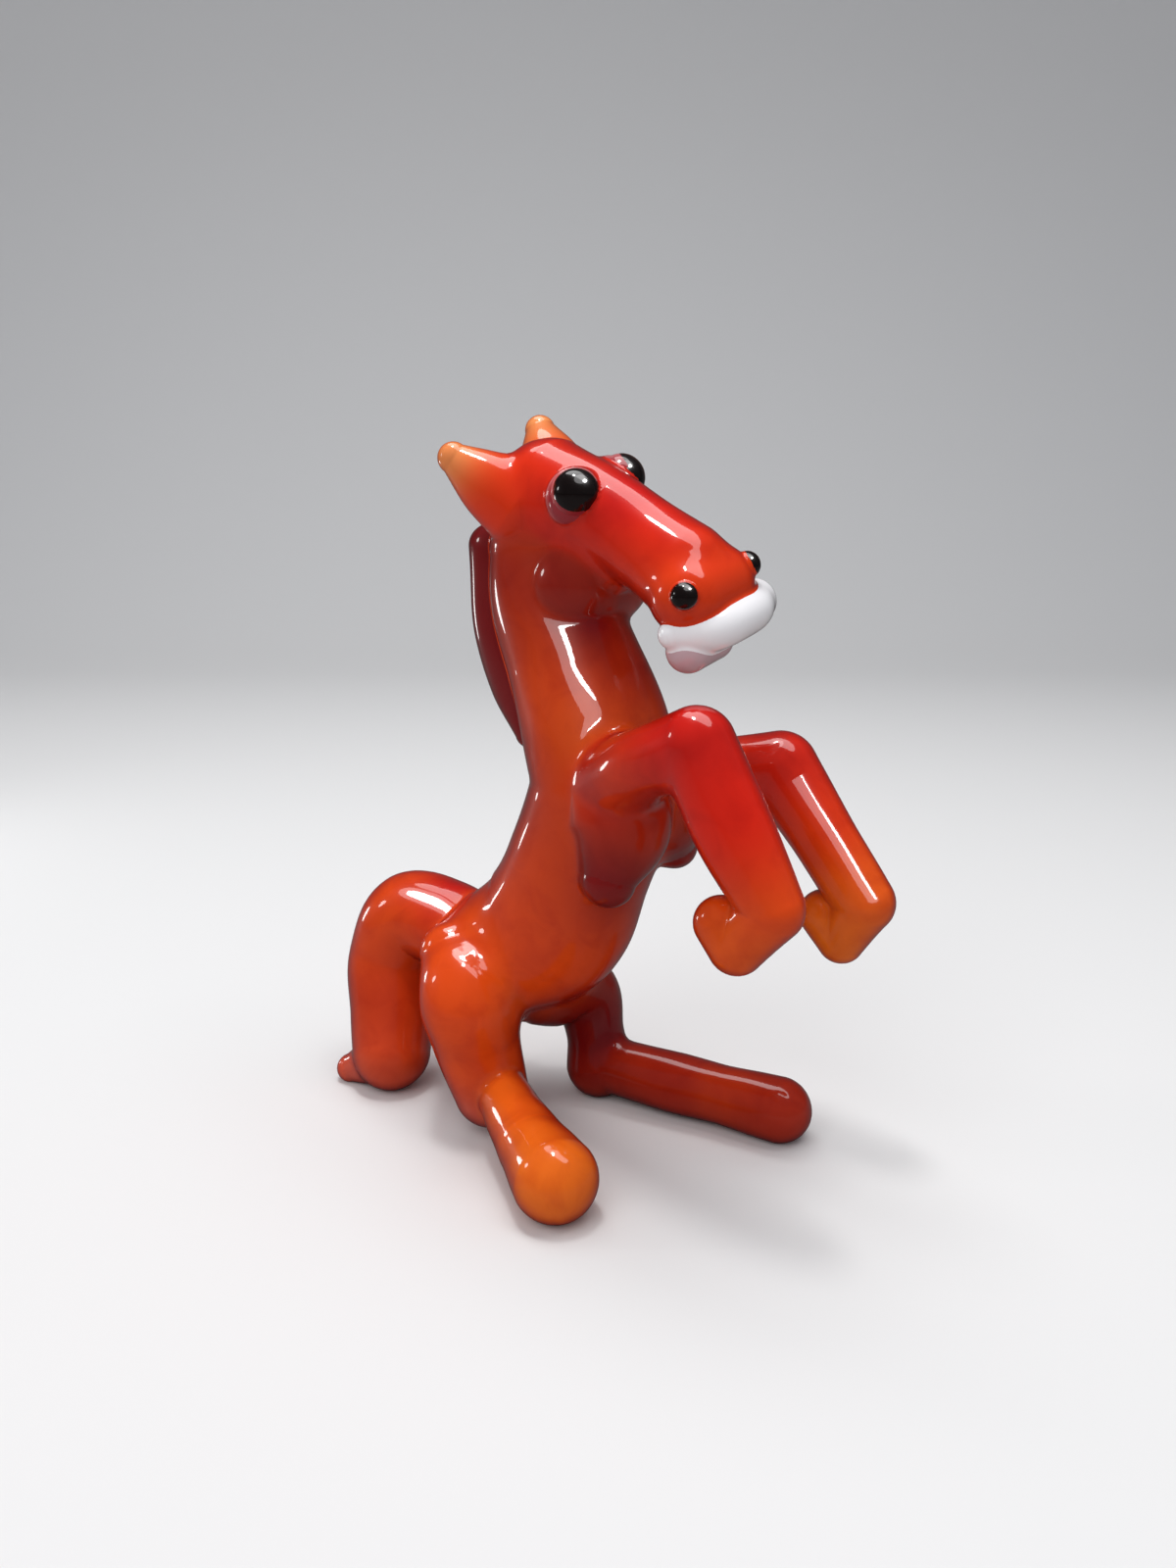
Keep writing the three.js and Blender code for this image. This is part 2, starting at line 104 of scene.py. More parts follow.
# %% Sizes of the tail, and of the hind legs from the knee
tail_root = dict(radius=4.7, forward=-6.1, up=1.9)
tail_arch = dict(radius=4.9, forward=-5.0, up=-0.2, right=0.4)
tail_fall = dict(radius=4.8, forward=-2.0, up=-5.0, right=1.0)
tail_end = dict(radius=4.6, forward=1.6, up=-5.2, right=2.0)
tail_foot = dict(radius=4.2, forward=1.4, up=0.0, right=1.9)
tail_tip = dict(radius=1.6, behind=4.6, right=1.6, root_radius=3.4, root_drop=0.7)

hind_right = dict(
    knee=dict(x=-2.2, out=6.9, radius=3.8, lift=0.9),
    stifle=dict(back=1.1, out=0.6, rise=4.7, radius=4.3),
    thigh=dict(back=1.9, out=1.2, rise=10.0, radius=4.8),
    hip=dict(back=5.6, out=-0.8, rise=13.4, radius=3.1),
    shank=dict(forward=0.6, rise=1.3, radius=2.4),
    calf=dict(at=0.4, rise=0.7, radius=2.9),
    ankle=dict(at=0.7, rise=0.2, radius=3.4),
    hoof=dict(reach=14.4, out=9.1, radius=4.0),
)
hind_left = dict(
    knee=dict(x=2.4, out=6.0, radius=3.5, lift=0.0),
    stifle=dict(back=0.8, out=0.4, rise=3.6, radius=3.1),
    thigh=dict(back=2.0, out=0.4, rise=7.2, radius=3.9),
    hip=dict(back=4.5, out=-2.8, rise=9.8, radius=5.2),
    shank=dict(forward=0.6, rise=0.3, radius=2.9),
    calf=dict(at=0.38, rise=0.1, radius=3.1),
    ankle=dict(at=0.7, rise=0.1, radius=3.0),
    hoof=dict(reach=20.4, out=2.0, radius=3.3),
)
print("parts of a hind leg:", ", ".join(hind_right))

# %% Sizes of the forelegs: forward, out and up from the chest's centre, and the radius there
fore_right = dict(
    lobe=(3.8, 5.4, -7.3, 2.6),
    shoulder=(4.1, 3.8, -3.0, 4.6),
    root=(2.9, 3.0, 1.0, 4.6),
    elbow=(8.8, 7.6, 4.8, 3.2),
    knee=(14.8, 9.0, 7.5, 3.3),
    shin=(18.1, 9.0, 1.2, 3.4),
    fetlock=(22.2, 9.0, -5.4, 2.75),
    hoof=(19.0, 9.0, -9.3, 2.5),
    toe=(17.5, 9.0, -7.5, 2.4),
)
fore_left = dict(
    lobe=(4.4, 5.6, -6.6, 2.3),
    shoulder=(4.0, 3.8, -3.2, 4.2),
    root=(2.9, 3.0, -0.4, 4.6),
    elbow=(8.6, 6.8, 1.2, 3.3),
    knee=(14.4, 8.0, 2.1, 3.6),
    shin=(19.0, 8.0, -3.7, 3.1),
    fetlock=(23.4, 8.0, -9.5, 2.9),
    hoof=(21.3, 8.0, -13.6, 2.3),
    toe=(19.5, 8.0, -11.4, 2.4),
)
print("stations of a foreleg:", ", ".join(fore_right))

# %% [markdown]
# ## A gather along a bent spine
# A spine runs through its stations as a Catmull-Rom curve, which looks like a hand-drawn rod: it passes
# through every point and never turns sharply. Each sample of the curve has a centre, a radius, a half
# width and two axes. Between samples a cubic is used, so that neither place nor slope jumps.

# %% The curve through the stations
LEFT = np.array([0.0, 1.0, 0.0])
UP = np.array([0.0, 0.0, 1.0])
SPINE_STEP = 0.8  # millimetres between two samples of a spine
DENSE = 40  # points worked out on each stretch before the even samples are taken
TINY = 1e-9  # keeps a division from dividing by nothing


def unit(vectors):
    return vectors / np.linalg.norm(vectors, axis=-1, keepdims=True)


def cubic(x0, x1, slope0, slope1, t):
    """The cubic from x0 to x1 with the given slopes at its ends."""
    t = t[:, None]
    bend = -3 * x0 + 3 * x1 - 2 * slope0 - slope1
    twist = 2 * x0 - 2 * x1 + slope0 + slope1
    return x0 + (slope0 + (bend + twist * t) * t) * t


def through(points, even):
    """A Catmull-Rom curve through points: even spacing for sizes, centripetal spacing for places."""
    ghosts = np.vstack([2 * points[0] - points[1], points, 2 * points[-1] - points[-2]])
    stretches = []
    for i in range(1, len(ghosts) - 2):
        p0, p1, p2, p3 = ghosts[i - 1 : i + 3]
        pairs = ((p0, p1), (p1, p2), (p2, p3))
        d0, d1, d2 = (1.0 if even else math.sqrt(np.linalg.norm(b - a)) for a, b in pairs)
        slope1 = ((p1 - p0) / d0 - (p2 - p0) / (d0 + d1) + (p2 - p1) / d1) * d1
        slope2 = ((p2 - p1) / d1 - (p3 - p1) / (d1 + d2) + (p3 - p2) / d2) * d1
        last = i == len(ghosts) - 3
        t = np.linspace(0, 1, DENSE + 1)[: None if last else -1]
        stretches.append(cubic(p1, p2, slope1, slope2, t))
    return np.vstack(stretches)


print("points on each stretch of a curve:", DENSE)

# %% One gather: even samples along its spine
BOX_MARGIN = 0.5  # round the box that says where a gather can matter


class Gather:
    """A bent rod end. A row of its table has the centre, radius, half width, outer axis and side axis."""

    def __init__(self, stations, side=LEFT):
        points = np.array([s[0] for s in stations], float)
        girths = np.array([(s[1], s[2]) for s in stations], float)
        line = through(points, even=False)
        girth = through(girths, even=True)
        walked = np.concatenate([[0], np.cumsum(np.linalg.norm(np.diff(line, axis=0), axis=1))])
        self.length = walked[-1]
        self.samples = max(4, math.ceil(self.length / SPINE_STEP) + 1)
        self.step = self.length / (self.samples - 1)
        at = np.linspace(0, self.length, self.samples)
        centre = np.stack([np.interp(at, walked, line[:, k]) for k in range(3)], 1)
        size = np.stack([np.interp(at, walked, girth[:, k]) for k in range(2)], 1)
        along = unit(np.gradient(centre, axis=0, edge_order=2))
        across = unit(side - along * (along @ side)[:, None])
        self.table = np.hstack([centre, size, np.cross(along, across), across])
        self.slopes = np.gradient(self.table, axis=0, edge_order=2)
        self.bend = np.gradient(along, axis=0)
        reach = size.max() + BOX_MARGIN
        self.low = centre.min(0) - reach
        self.high = centre.max(0) + reach


def station(centre, radius, width=None):
    return (np.asarray(centre, float), radius, radius if width is None else width)


rod = Gather([station((0, 0, 0), 2.0), station((10, 0, 0), 3.0)])
print("samples along a straight rod of 10 mm:", rod.samples)

# %% [markdown]
# ## How far a point is from a gather
# The nearest place on the spine comes first, by a few steps of Newton's rule. The section there is an
# ellipse. The distance is taken as if the point were on a larger ellipse of the same shape, which is exact
# where the section is round and close enough elsewhere.

# %% Sections of a gather, and the distance to its skin
NEWTON_STEPS = 3
LEAST_GAIN = 0.3  # of a sample's step, where the spine bends most
DEEP = 0.3  # nearer to the spine than this share of the radius, only the depth counts


def between(gather, place, columns):
    """The first columns of the table, and the direction, at places counted in samples."""
    i = np.minimum(place.astype(int), gather.samples - 2)
    ends = (gather.table[i, :columns], gather.table[i + 1, :columns])
    slopes = (gather.slopes[i, :columns], gather.slopes[i + 1, :columns])
    share = (place - i)[:, None]
    along = slopes[0][:, :3] * (1 - share) + slopes[1][:, :3] * share
    return cubic(*ends, *slopes, place - i), unit(along)


def section(gather, place):
    """Centre, radius, half width, outer axis, side axis and direction at places counted in samples."""
    row, along = between(gather, np.clip(place, 0, gather.samples - 1), 11)
    return row[:, :3], row[:, 3], row[:, 4], row[:, 5:8], row[:, 8:11], along


def nearest(gather, points):
    """The place on the spine that each point is square to."""
    centre = gather.table[:, :3]
    apart = (points**2).sum(1)[:, None] - 2 * points @ centre.T + (centre**2).sum(1)
    place = apart.argmin(1).astype(float)
    for _ in range(NEWTON_STEPS):
        at, along = between(gather, place, 3)
        off = points - at
        bend = gather.bend[np.rint(place).astype(int)]
        gain = np.maximum(gather.step - (off * bend).sum(1), LEAST_GAIN * gather.step)
        place = np.clip(place + (off * along).sum(1) / gain, 0, gather.samples - 1)
    return place


def outside(gather, points):
    """How far points are outside the skin, and the way out."""
    centre, radius, width, outer, across, along = section(gather, nearest(gather, points))
    off = points - centre
    u = (off * outer).sum(1)
    v = (off * across).sum(1)
    w = (off * along).sum(1)
    cap = (radius + width) / 2
    ratio = np.sqrt((u / radius) ** 2 + (v / width) ** 2 + (w / cap) ** 2) + TINY
    away = np.linalg.norm(off, axis=1) * (1 - 1 / ratio)
    deep = ratio < DEEP
    away[deep] = -np.minimum(radius, width)[deep]
    steps = ((u / radius**2, outer), (v / width**2, across), (w / cap**2, along))
    way = sum(step[:, None] * axis for step, axis in steps)
    return away, way / (np.linalg.norm(way, axis=1, keepdims=True) + TINY)


print("a point 5 mm off the rod's end is outside by, in mm:", outside(rod, 5 * LEFT[None])[0].round(2))

# %% [markdown]
# ## The drawing
# The stations are worked out in the order in which the horse grows: hind legs on the bench, trunk, neck,
# head, and then what is melted onto them. Each leg is one function for both sides.

# %% Hind legs
def hind_leg(size, to_side):
    knee, hoof, shank = size["knee"], size["hoof"], size["shank"]
    knee_at = np.array([knee["x"], to_side * knee["out"], knee["radius"] + knee["lift"] - FOOT_FLAT])
    hoof_at = np.array(
        [knee["x"] + hoof["reach"], to_side * (knee["out"] + hoof["out"]), hoof["radius"] - FOOT_FLAT]
    )

    def above_knee(part):
        place = knee_at + (-part["back"], to_side * part["out"], part["rise"])
        return station(place, part["radius"])

    def below_knee(part):
        return station(knee_at + (hoof_at - knee_at) * part["at"] + (0, 0, part["rise"]), part["radius"])

    knee_station = station(knee_at, knee["radius"])
    shank_start = station(knee_at + (shank["forward"], 0, shank["rise"]), shank["radius"])
    ankle = below_knee(size["ankle"])
    stations = [above_knee(size[name]) for name in ("hip", "thigh", "stifle")] + [knee_station]
    return {
        "stations": stations,
        "thigh": Gather(stations),
        "shank": Gather([shank_start, below_knee(size["calf"]), ankle]),
        "hoof": Gather([ankle, station(hoof_at, hoof["radius"])]),
        "hoof_at": hoof_at,
        "knee_at": knee_at,
    }


hind = {"right": hind_leg(hind_right, -1), "left": hind_leg(hind_left, 1)}
print("the near thigh is long by, in mm:", round(hind["right"]["thigh"].length, 1))

# %% Trunk and neck
hips = (hind["right"]["stations"][0][0] + hind["left"]["stations"][0][0]) / 2 * (1, 0, 1)
rump_at = hips + (-rump["behind_hips"], 0, rump["above_hips"])


def chain(start, *parts):
    """The centres of parts that are each given from the one before."""
    places = [start]
    for part in parts:
        places.append(places[-1] + (part["forward"], -part.get("right", 0), part["up"]))
    return places


def along_chain(places, parts):
    return Gather([station(at, part["radius"], part.get("width")) for at, part in zip(places, parts)])


trunk_places = chain(rump_at, *TRUNK[1:])
neck_places = chain(trunk_places[-1], *NECK)
chest_at, poll_at = trunk_places[-1], neck_places[-1]
torso = along_chain(trunk_places, TRUNK)
neck = along_chain(neck_places, (chest, *NECK))
print("the poll is up by, in mm:", round(poll_at[2], 1))

# %% Head, jaw and muzzle
skull_at = poll_at + (skull["forward"], 0, skull["up"])
turn, roll = math.radians(-HEAD_TURN), math.radians(HEAD_ROLL)
turned = np.array([[math.cos(turn), -math.sin(turn), 0], [math.sin(turn), math.cos(turn), 0], [0, 0, 1]])
rolled = np.array([[1, 0, 0], [0, math.cos(roll), -math.sin(roll)], [0, math.sin(roll), math.cos(roll)]])
head_pose = turned @ rolled


def on_head(along, to_left, above):
    return skull_at + head_pose @ (along, to_left, above)


def head_station(part):
    return station(on_head(part.get("along", 0), 0, part.get("above", 0)), part["radius"], part["width"])


def across_head(along, above, radius, half_span, to_left=0.0):
    """A gather laid across the head from its right to its left."""
    ends = [on_head(along, to_left + side * half_span, above) for side in (-1, 1)]
    return Gather([station(end, radius) for end in ends], UP)


head = Gather([head_station(part) for part in (skull, brow, nose, bridge)], head_pose @ LEFT)
jaw_gather = across_head(jaw["along"], jaw["above"], jaw["radius"], jaw["half_span"])
muzzle_half_span = muzzle["width"] - muzzle["radius"]
muzzle_at = (muzzle["along"], muzzle["above"])
muzzle_gather = across_head(*muzzle_at, muzzle["radius"], muzzle_half_span, -muzzle["right"])
print("the nose is long by, in mm:", round(head.length, 1))

# %% Lips
lip_along = muzzle["along"] + upper_lip["forward"]
lip_above = muzzle["above"] - upper_lip["drop"]
lip_end = upper_lip["half_span"]


def lip_station(part, back, to_left, rise=0.0):
    return station(on_head(lip_along - back, to_left, lip_above + rise), part["radius"])


upper_lip_gather = Gather(
    [
        lip_station(lip_corner, lip_corner["back"], -lip_end, lip_corner["rise"]),
        lip_station(lip_swell, lip_swell["back"], -lip_swell["out"]),
        lip_station(upper_lip, 0, lip_end - lip_swell["out"]),
        lip_station(upper_lip, upper_lip["left_back"], lip_end),
    ],
    UP,
)
lower_lip_gather = across_head(
    muzzle["along"] + lower_lip["forward"],
    muzzle["above"] - lower_lip["drop"],
    lower_lip["radius"],
    lower_lip["half_span"],
    -lower_lip["right"],
)
print("the upper lip is long by, in mm:", round(upper_lip_gather.length, 1))


# %% Eyes and nostrils
def dot(point, out, radius, proud):
    """A round bead whose top stands proud of a point of the skin."""
    centre = point + out * (proud - radius)
    return Gather([station(centre - out * FOOT_FLAT, radius), station(centre, radius)], UP)


def on_skin(gather, share, angle):
    """A point of a gather's skin and the way out of it, at an angle from the outer axis towards the side."""
    centre, radius, width, outer, across, _ = section(gather, np.array([share * (gather.samples - 1)]))
    c, s = math.cos(math.radians(angle)), math.sin(math.radians(angle))
    point = centre[0] + outer[0] * radius[0] * c + across[0] * width[0] * s
    return point, unit(outer[0] * c / radius[0] + across[0] * s / width[0])


def face(to_side):
    eye = eye_left if to_side > 0 else eye_right
    nostril_out = nostril["left_out" if to_side > 0 else "right_out"]
    point, out = on_skin(head, eye["station"], to_side * eye["angle"])
    pupil_point = point + head_pose @ (pupil["forward"], 0, pupil["above"])
    muzzle_end = on_head(muzzle["along"], to_side * muzzle_half_span - muzzle["right"], muzzle["above"])
    way = unit(head_pose @ (nostril["forward"], to_side * nostril_out, nostril["above"]))
    return {
        "eye_base": dot(point, out, eye_base["radius"], eye_base["proud"]),
        "pupil": dot(pupil_point, out, pupil["radius"], eye_base["proud"] + pupil["proud"]),
        "nostril": dot(muzzle_end + way * muzzle["radius"], way, nostril["radius"], nostril["proud"]),
        "eye_at": pupil_point,
    }


faces = {"right": face(-1), "left": face(1)}
print("the near pupil is at, in mm:", faces["right"]["eye_at"].round(1))


# %% Ears and mane
def ear_gather(to_side):
    base = on_head(-ear["back"], to_side * ear["out"], ear["above"])
    tip = base + head_pose @ (-ear_reach["back"], to_side * ear_reach["out"], ear_reach["above"])
    places = (base, (base + tip) / 2, tip)
    radii = (ear["radius"], ear["middle_radius"], ear["tip_radius"])
    return Gather([station(place, radius) for place, radius in zip(places, radii)])


def crest(share, height, proud, rise=0.0):
    point, out = on_skin(neck, share, 0)
    return station(point + out * (proud - height) + (0, 0, rise), height, mane["thickness"])


ears = {"right": ear_gather(-1), "left": ear_gather(1)}
crests = [crest(MANE_AT[0], mane["low_height"], mane["low_proud"])]
crests += [crest(share, mane["height"], mane["proud"]) for share in MANE_AT[1:-1]]
crests += [crest(MANE_AT[-1], mane["height"], mane["proud"], mane["top_rise"])]
mane_gather = Gather(crests)
print("the mane is long by, in mm:", round(mane_gather.length, 1))

# %% Tail
tail_parts = (tail_root, tail_arch, tail_fall, tail_end, tail_foot)
tail_places = chain(rump_at, *tail_parts)
tail_foot_at = tail_places[-1]
tail_foot_at[2] = tail_foot["radius"] - FOOT_FLAT
tail = along_chain(tail_places, (tail_root, *tail_parts))
flick_root = station(tail_foot_at - (0, 0, tail_tip["root_drop"]), tail_tip["root_radius"])
flick_end = tail_foot_at - (tail_tip["behind"], tail_tip["right"], 0)
flick_end[2] = tail_tip["radius"] - FOOT_FLAT
tail_flick = Gather([flick_root, station(flick_end, tail_tip["radius"])])
print("the tail is long by, in mm:", round(tail.length, 1))


# %% Forelegs
def fore_leg(size, to_side):
    at = {
        name: station(chest_at + (forward, to_side * out, up), radius)
        for name, (forward, out, up, radius) in size.items()
    }
    return {
        "arm": Gather([at["root"], at["elbow"], at["knee"]]),
        "shoulder": Gather([at["root"], at["shoulder"], at["lobe"]]),
        "leg": Gather([at["knee"], at["shin"], at["fetlock"]]),
        "heel": Gather([at["fetlock"], at["hoof"]]),
        "toe": Gather([at["hoof"], at["toe"]]),
        "at": {name: s[0] for name, s in at.items()},
    }


fore = {"right": fore_leg(fore_right, -1), "left": fore_leg(fore_left, 1)}
print("the near arm is long by, in mm:", round(fore["right"]["arm"].length, 1))

# %% [markdown]
# ## How the glass melts together
# The skin is where one smooth distance is zero. Two gathers that cross are joined by a fillet as wide as
# their melt. Where they run on from each other their skins agree, so the melt fades out by the angle
# between the skins, and no bulge grows. A voxel remesh would melt them too, but the same everywhere.

# %% Every piece: its gathers, its glass, and how wide it melts into what it is put on
def pair(name, sides, keys, glass, melts):
    return {
        f"{name}_{side}": ([sides[side][key] for key in keys], glass, melt)
        for side, melt in zip(("right", "left"), melts)
    }


PIECES = {
    "torso": ([torso], "body_glass", 0.0),
    "neck": ([neck], "body_glass", 3.0),
    "head": ([head], "body_glass", 5.0),
    "jaw": ([jaw_gather], "body_glass", 2.2),
    "muzzle": ([muzzle_gather], "body_glass", 4.5),
    "upper_lip": ([upper_lip_gather], "white_glass", 0.7),
    "lower_lip": ([lower_lip_gather], "milk_glass", 0.9),
    **pair("eye_base", faces, ["eye_base"], "casing_glass", (1.2, 1.2)),
    **pair("pupil", faces, ["pupil"], "black_glass", (0.25, 0.25)),
    **pair("nostril", faces, ["nostril"], "black_glass", (0.3, 0.3)),
    "ear_right": ([ears["right"]], "ear_glass", 1.8),
    "ear_left": ([ears["left"]], "ear_glass", 1.8),
    "mane": ([mane_gather], "mane_glass", 0.7),
    **pair("thigh", hind, ["thigh"], "body_glass", (5.0, 4.0)),
    **pair("shank", hind, ["shank"], "body_glass", (1.6, 2.0)),
    **pair("hind_hoof", hind, ["hoof"], "body_glass", (2.5, 2.5)),
    "tail": ([tail, tail_flick], "body_glass", 1.2),
    **pair("upper_arm", fore, ["arm", "shoulder"], "body_glass", (2.8, 2.8)),
    **pair("foreleg", fore, ["leg"], "body_glass", (3.5, 3.5)),
    **pair("fore_hoof", fore, ["heel", "toe"], "body_glass", (0.8, 0.8)),
}
NAMES = list(PIECES)
print("pieces to make:", len(NAMES))

# %% Two distances melted into one
INNER_MELT = 2.5  # between two gathers of one piece
LEAST_MELT = 0.02  # where two gathers run on from each other


def fuse(a, way_a, b, way_b, melt):
    """The smooth union of two distances, and its slope."""
    lengths = np.linalg.norm(way_a, axis=1) * np.linalg.norm(way_b, axis=1)
    agree = (way_a * way_b).sum(1) / (lengths + TINY)
    width = melt * np.clip(1 - agree, 0, 1) + LEAST_MELT
    overlap = np.clip(width - np.abs(a - b), 0, None) / width
    lesser = overlap**2 / 2
    share_a = np.where(a < b, 1 - lesser, lesser)[:, None]
    return np.minimum(a, b) - overlap**3 * width / 6, way_a * share_a + way_b * (1 - share_a)


print("where two gathers of a piece cross, the melt fills in, in mm:", round(INNER_MELT / 6, 2))

# %% The skin of the whole horse
HAND_WAVES = (  # the length of each wave in millimetres, its way and its phase
    (5.44, (0.61, 0.35, 0.71), 0.4),
    (4.16, (-0.52, 0.83, 0.21), 1.9),
    (7.36, (0.33, -0.64, 0.69), 3.1),
)
HAND_DEPTH = 0.015  # how deep the unevenness of hand work is, in millimetres
BENCH_MELT = 0.8
FAR = 50.0  # a distance past which nothing matters, in millimetres
NEAR_MARGIN = 1.0  # how far past its melt a gather is still looked at


def hand_work(points):
    """A slow unevenness of the skin, the same for every piece."""
    waves = 0
    for length, way, phase in HAND_WAVES:
        waves = waves + np.sin(points @ np.array(way) * (2 * math.pi / length) + phase)
    return HAND_DEPTH * waves


def whole_horse(points):
    """The distance outside the melted horse, its slope, and the distance outside each piece."""
    value = np.full(len(points), FAR)
    way = np.zeros_like(points)
    apart = np.full((len(NAMES), len(points)), FAR)
    for row, (gathers, _, melt) in enumerate(PIECES.values()):
        reach = melt + NEAR_MARGIN
        for number, gather in enumerate(gathers):
            near = np.flatnonzero(((points > gather.low - reach) & (points < gather.high + reach)).all(1))
            if not near.size:
                continue
            b, way_b = outside(gather, points[near])
            joint_melt = melt if number == 0 else min(melt, INNER_MELT)
            value[near], way[near] = fuse(value[near], way[near], b, way_b, joint_melt)
            apart[row, near] = np.minimum(apart[row, near], b)
    value = value + hand_work(points)
    bench = -points[:, 2]
    sunk, sunk_way = fuse(-value, -way, -bench, np.tile(UP, (len(points), 1)), BENCH_MELT)
    return -sunk, -sunk_way, apart


print("the middle of the chest is deep by, in mm:", -whole_horse(chest_at[None])[0].round(2))

# %% [markdown]
# ## From a sphere to a gather
# A bevelled curve could thicken the spine, but a UV sphere already has closed poles and even rows. Its
# rows are shared out over the first round end, the length of the spine and the second round end, and its
# columns become the sides of the section.

# %% A sphere bent onto a spine
FEWEST_SIDES = 16
FEWEST_END_ROWS = 5
FEWEST_ROWS = 2
AT_POLE = 1e-6  # nearer to the sphere's axis than this, a point has no side of its own
COARSE = 1.0  # spacing that is enough to measure a box, in millimetres


def as_mesh(name, shape):
    mesh = bpy.data.meshes.new(name)
    shape.to_mesh(mesh)
    shape.free()
    return mesh


def mesh_points(mesh):
    points = np.zeros(len(mesh.vertices) * 3, np.float32)
    mesh.vertices.foreach_get("co", points)
    return points.reshape(-1, 3).astype(float)


def move_points(mesh, points):
    mesh.vertices.foreach_set("co", points.astype(np.float32).ravel())
    mesh.update()


def in_one_order(ball):
    """Sort the faces by their points, because a UV sphere has them in another order in each run."""
    ball.verts.index_update()
    many = len(ball.verts)

    def key(face):
        numbers = sorted(point.index for point in face.verts)
        return (numbers[0] * many + numbers[1]) * many + numbers[-1]

    ball.faces.sort(key=key)


def bent_sphere(gather, spacing):
    """A mesh made from a UV sphere whose rows follow the spine."""
    thick = gather.table[:, 3:5].max()
    sides = max(FEWEST_SIDES, round(2 * math.pi * thick / spacing))
    cap_rows = max(FEWEST_END_ROWS, round(math.pi * thick / 2 / spacing))
    rows = max(FEWEST_ROWS, round(gather.length / spacing))
    ball = bmesh.new()
    bmesh.ops.create_uvsphere(ball, u_segments=sides, v_segments=rows + 2 * cap_rows, radius=1.0)
    in_one_order(ball)
    mesh = as_mesh("gather", ball)
    at = mesh_points(mesh)
    latitude = np.arcsin(np.clip(at[:, 2], -1, 1)) / math.pi + 0.5
    row = latitude * (rows + 2 * cap_rows)
    ring = at[:, :2] / np.maximum(np.linalg.norm(at[:, :2], axis=1, keepdims=True), AT_POLE)
    first = np.clip(1 - row / cap_rows, 0, 1) * math.pi / 2
    last = np.clip((row - rows) / cap_rows - 1, 0, 1) * math.pi / 2
    place = np.clip((row - cap_rows) / rows, 0, 1) * (gather.samples - 1)
    centre, radius, width, outer, across, along = section(gather, place)
    shrink = np.cos(first + last)
    beyond = (np.sin(last) - np.sin(first)) * (radius + width) / 2
    across_by = ring[:, 0] * shrink * width
    outer_by = ring[:, 1] * shrink * radius
    points = centre + along * beyond[:, None] + across * across_by[:, None] + outer * outer_by[:, None]
    move_points(mesh, points)
    return mesh


plain_torso = mesh_points(bent_sphere(torso, COARSE))
print("points of a coarse torso:", len(plain_torso))

# %% [markdown]
# ## Onto the common skin
# Each piece owns the stretch of skin that is nearest to it, and dips a hair's breadth below its neighbour
# past the seam. Its points climb straight out of their own gather until they are there. A shrinkwrap could
# do the same, but it would need the melted horse as a mesh first.

# %% Seams between pieces
WELD_BIAS = 0.3  # a piece that was there first keeps this much more of the seam
SEAM_START = -0.1
SEAM_END = 0.35
DIP = 0.08  # how far a piece dips below its neighbour past the seam


def smooth_step(low, high, x):
    t = np.clip((x - low) / (high - low), 0, 1)
    return t * t * (3 - 2 * t)


def beyond_seams(apart, row):
    """How far each point is on its own side of the seam with every other piece."""
    others = apart - apart[row]
    others[:row] -= WELD_BIAS
    others[row + 1 :] += WELD_BIAS
    return others


def past_seam(apart, row):
    """How far past the seam of its own piece each point is: below zero is its own skin."""
    others = beyond_seams(apart, row)
    others[row] = FAR
    return -others.min(0)


print("a seam lies off the middle between two skins by, in mm:", WELD_BIAS / 2)

# %% Points settled on the common skin
FARTHEST = 1.6  # no owned skin is farther than this from its own gather
STEPS = 16
LONGEST_STEP = 0.4
LEAST_STEEP = 0.5  # the flattest way up that a step counts on
CLOSE = 0.004  # millimetres from the skin at which a point is there
HIDDEN = 0.3  # a point this far inside the horse is never seen


def own_way(points, row):
    """The way straight out of a piece's own gathers."""
    gathers = PIECES[NAMES[row]][0]
    value, way = outside(gathers[0], points)
    for gather in gathers[1:]:
        value, way = fuse(value, way, *outside(gather, points), INNER_MELT)
    return unit(way + TINY)


def settled(points, row):
    """Points that climb straight out of their own gather, to the skin or as near to it as that way goes."""
    out = own_way(points, row)
    climb, low = np.zeros(len(points)), np.zeros(len(points))
    top = np.full(len(points), FARTHEST)
    left_inside = np.zeros(len(points))
    moving = np.arange(len(points))
    for _ in range(STEPS):
        here = climb[moving]
        value, way, apart = whole_horse(points[moving] + out[moving] * here[:, None])
        short = -DIP * smooth_step(SEAM_START, SEAM_END, past_seam(apart, row)) - value
        steep = (way * out[moving]).sum(1)
        rising = (steep > 0) | (short < 0)
        low[moving] = np.where(rising, here, low[moving])
        top[moving] = np.where(rising, top[moving], here)
        further = here + np.clip(short / np.maximum(steep, LEAST_STEEP), -LONGEST_STEP, LONGEST_STEP)
        halfway = (low[moving] + top[moving]) / 2
        climb[moving] = np.where(rising, np.minimum(further, halfway), halfway)
        left_inside[moving] = short
        moving = moving[(np.abs(short) > CLOSE) & (top[moving] - low[moving] > CLOSE)]
        if not moving.size:
            break
    result = points + out * climb[:, None]
    result[:, 2] = np.maximum(result[:, 2], 0)
    return result, left_inside > HIDDEN


print("hidden points of the coarse torso:", settled(plain_torso, NAMES.index("torso"))[1].sum())

# %% Normals that agree across the seams
NORMAL_STEP = 0.03  # millimetres from a point to the four places that are compared
CORNERS = np.array([(1, -1, -1), (-1, -1, 1), (-1, 1, -1), (1, 1, 1)], float)


